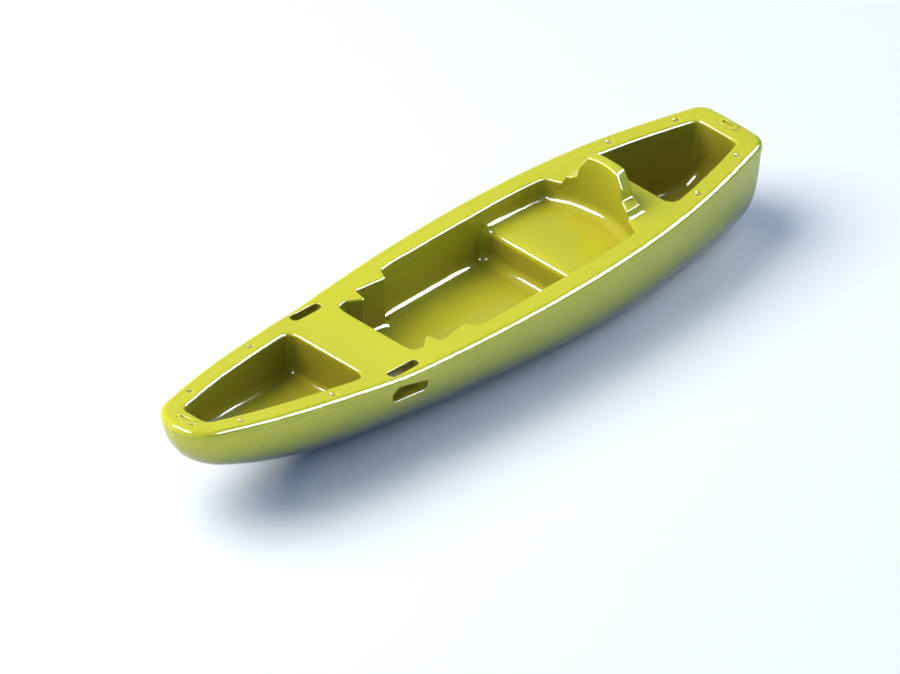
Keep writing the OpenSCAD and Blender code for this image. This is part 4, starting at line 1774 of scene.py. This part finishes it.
@dataclass(frozen=True)
class Foam:
    """Closed-cell foam: small domed cells under a cut skin."""

    name: str = "closed_cell_foam"
    base: Colour = (0.80, 0.80, 0.77)
    shade: Colour = (0.70, 0.70, 0.67)

    def build(self) -> bpy.types.Material:
        """Builds the material."""
        sheet = Sheet(self.name)
        cells = sheet.node("ShaderNodeTexVoronoi", Scale=320.0)
        sheet.join(sheet.at, cells.inputs["Vector"])
        tone = sheet.noise(sheet.at, 9.0, 4.0)
        colour = sheet.mix(sheet.remap(tone, 0.35, 0.65, 0, 1), self.base, self.shade)
        rough = sheet.remap(cells.outputs["Distance"], 0, 0.8, 0.75, 0.95)
        sheet.dress(colour, rough, cells.outputs["Distance"], 0.5, 0.0012)
        return sheet.material


@dataclass(frozen=True)
class Rubber:
    """Moulded rubber with a fine matt grain and a pale bloom."""

    name: str = "seal_rubber"
    base: Colour = (0.022, 0.022, 0.023)
    bloom: Colour = (0.055, 0.055, 0.058)

    def build(self) -> bpy.types.Material:
        """Builds the material."""
        sheet = Sheet(self.name)
        grain = sheet.noise(sheet.at, 900.0, 3.0)
        bloom = sheet.noise(sheet.at, 60.0, 4.0)
        colour = sheet.mix(sheet.remap(bloom, 0.45, 0.7, 0, 1), self.base, self.bloom)
        sheet.dress(colour, sheet.remap(bloom, 0.3, 0.7, 0.6, 0.85), grain, 0.4, 0.0003)
        return sheet.material


# ---------------------------------------------------------------- studio
@dataclass
class Studio:
    """The pale floor, the soft lights and the camera."""

    aim: tuple[float, float, float] = (0.2405, 0.219, 0.345)
    width: float = 3.105
    distance: float = 8.0
    sky: Colour = (0.13, 0.46, 1.0)
    sky_strength: float = 0.37
    floor_colour: Colour = (0.8, 0.82, 0.84)
    floor_half: float = 30

    def build(self) -> None:
        """Builds the floor, the lights, the sky and the camera."""
        scene = bpy.context.scene
        scene.view_settings.view_transform = "Standard"
        self.floor()
        main = self.light("main_soft", (0.36, -0.46, 0.81), 14.0, (12.0, 12.0), 2950, (1, 0.94, 0.85))
        main.visible_glossy = False
        self.light("low_blue", (0.30, 0.93, 0.10), 9.0, (7.0, 2.0), 30, (0.22, 0.60, 1.0))
        for name, towards, size, power, colour in (
            ("gloss_strip", (-0.60, 0.56, 0.57), (11.0, 4.0), 9500, (1, 1, 1)),
            ("gloss_ahead", (0.62, -0.25, 0.74), (7.0, 3.0), 2700, (1, 1, 0.95)),
            ("gloss_bow", (0.577, -0.577, 0.577), (1.6, 1.2), 420, (1, 1, 0.95)),
        ):
            self.light(name, towards, 9.0, size, power, colour).visible_diffuse = False
        world = bpy.data.worlds.new("studio")
        world.use_nodes = True
        backdrop = world.node_tree.nodes["Background"]
        backdrop.inputs["Color"].default_value = (*self.sky, 1)
        backdrop.inputs["Strength"].default_value = self.sky_strength
        scene.world = world
        lens = bpy.data.cameras.new("camera")
        lens.type = "ORTHO"
        lens.ortho_scale = self.width
        lens.clip_end = 100
        camera = bpy.data.objects.new("camera", lens)
        scene.collection.objects.link(camera)
        back = Vector((1, 1, 1)).normalized()
        camera.location = Vector(self.aim) + back * self.distance
        camera.rotation_euler = back.to_track_quat("Z", "Y").to_euler()
        scene.camera = camera

    def floor(self) -> None:
        """Builds the plain floor."""
        data = bpy.data.meshes.new("floor")
        s = self.floor_half
        data.from_pydata([(-s, -s, 0), (s, -s, 0), (s, s, 0), (-s, s, 0)], [], [(0, 1, 2, 3)])
        floor = bpy.data.objects.new("floor", data)
        bpy.context.scene.collection.objects.link(floor)
        sheet = Sheet("floor")
        sheet.surface.inputs["Base Color"].default_value = (*self.floor_colour, 1)
        sheet.surface.inputs["Roughness"].default_value = 0.9
        data.materials.append(sheet.material)

    @staticmethod
    def light(
        name: str,
        towards: tuple[float, float, float],
        distance: float,
        size: tuple[float, float],
        power: float,
        colour: Colour,
    ) -> bpy.types.Object:
        """Adds a soft light.

        Args:
            name: The light's name.
            towards: The direction from the kayak to the light.
            distance: How far away it is.
            size: Its width and height.
            power: Its power in watts.
            colour: Its colour.

        Returns:
            The light.
        """
        data = bpy.data.lights.new(name, "AREA")
        data.shape = "RECTANGLE"
        data.size, data.size_y = size
        data.energy = power
        data.color = colour
        lamp = bpy.data.objects.new(name, data)
        bpy.context.scene.collection.objects.link(lamp)
        away = Vector(towards).normalized()
        lamp.location = Vector((0, 0, 0.2)) + away * distance
        lamp.rotation_euler = away.to_track_quat("Z", "Y").to_euler()
        return lamp


def main() -> None:
    """Builds the kayak and its studio."""
    logging.basicConfig(level=logging.INFO, format="%(name)s: %(message)s")
    lines = Lines()
    yellows = ((0.70, 0.665, 0.034), (0.66, 0.63, 0.03))
    # The recess colours are painted shade: dark blue-green low on the hull, dark olive down in the deck's
    # wells.
    hull_yellow = Plastic("moulded_yellow_hull", *yellows, scuffs=0.6, recess=(0.03, 0.06, 0.05)).build()
    deck_yellow = Plastic("moulded_yellow_deck", *yellows, recess=(0.29, 0.24, 0.022)).build()
    lap_black = Plastic(
        "lap_strip_black", (0.03, 0.03, 0.032), (0.045, 0.045, 0.047), gloss=(0.4, 0.6), peel=0.2
    ).build()
    fitting_black = Plastic(
        "fitting_black", (0.02, 0.02, 0.021), (0.03, 0.03, 0.032), gloss=(0.28, 0.45), peel=0.25, grain=900.0
    ).build()
    deck = DeckMoulding(lines)
    HullMoulding(lines).build(hull_yellow)
    deck.build(deck_yellow)
    GripCups().build(deck_yellow)
    Inserts(deck).build(Brass().build())
    SeamStrip(lines).build(lap_black)
    FoamBlocks().build(Foam().build())
    Drain().build(fitting_black, Rubber().build())
    Studio().build()
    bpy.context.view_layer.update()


if __name__ == "__main__":
    main()
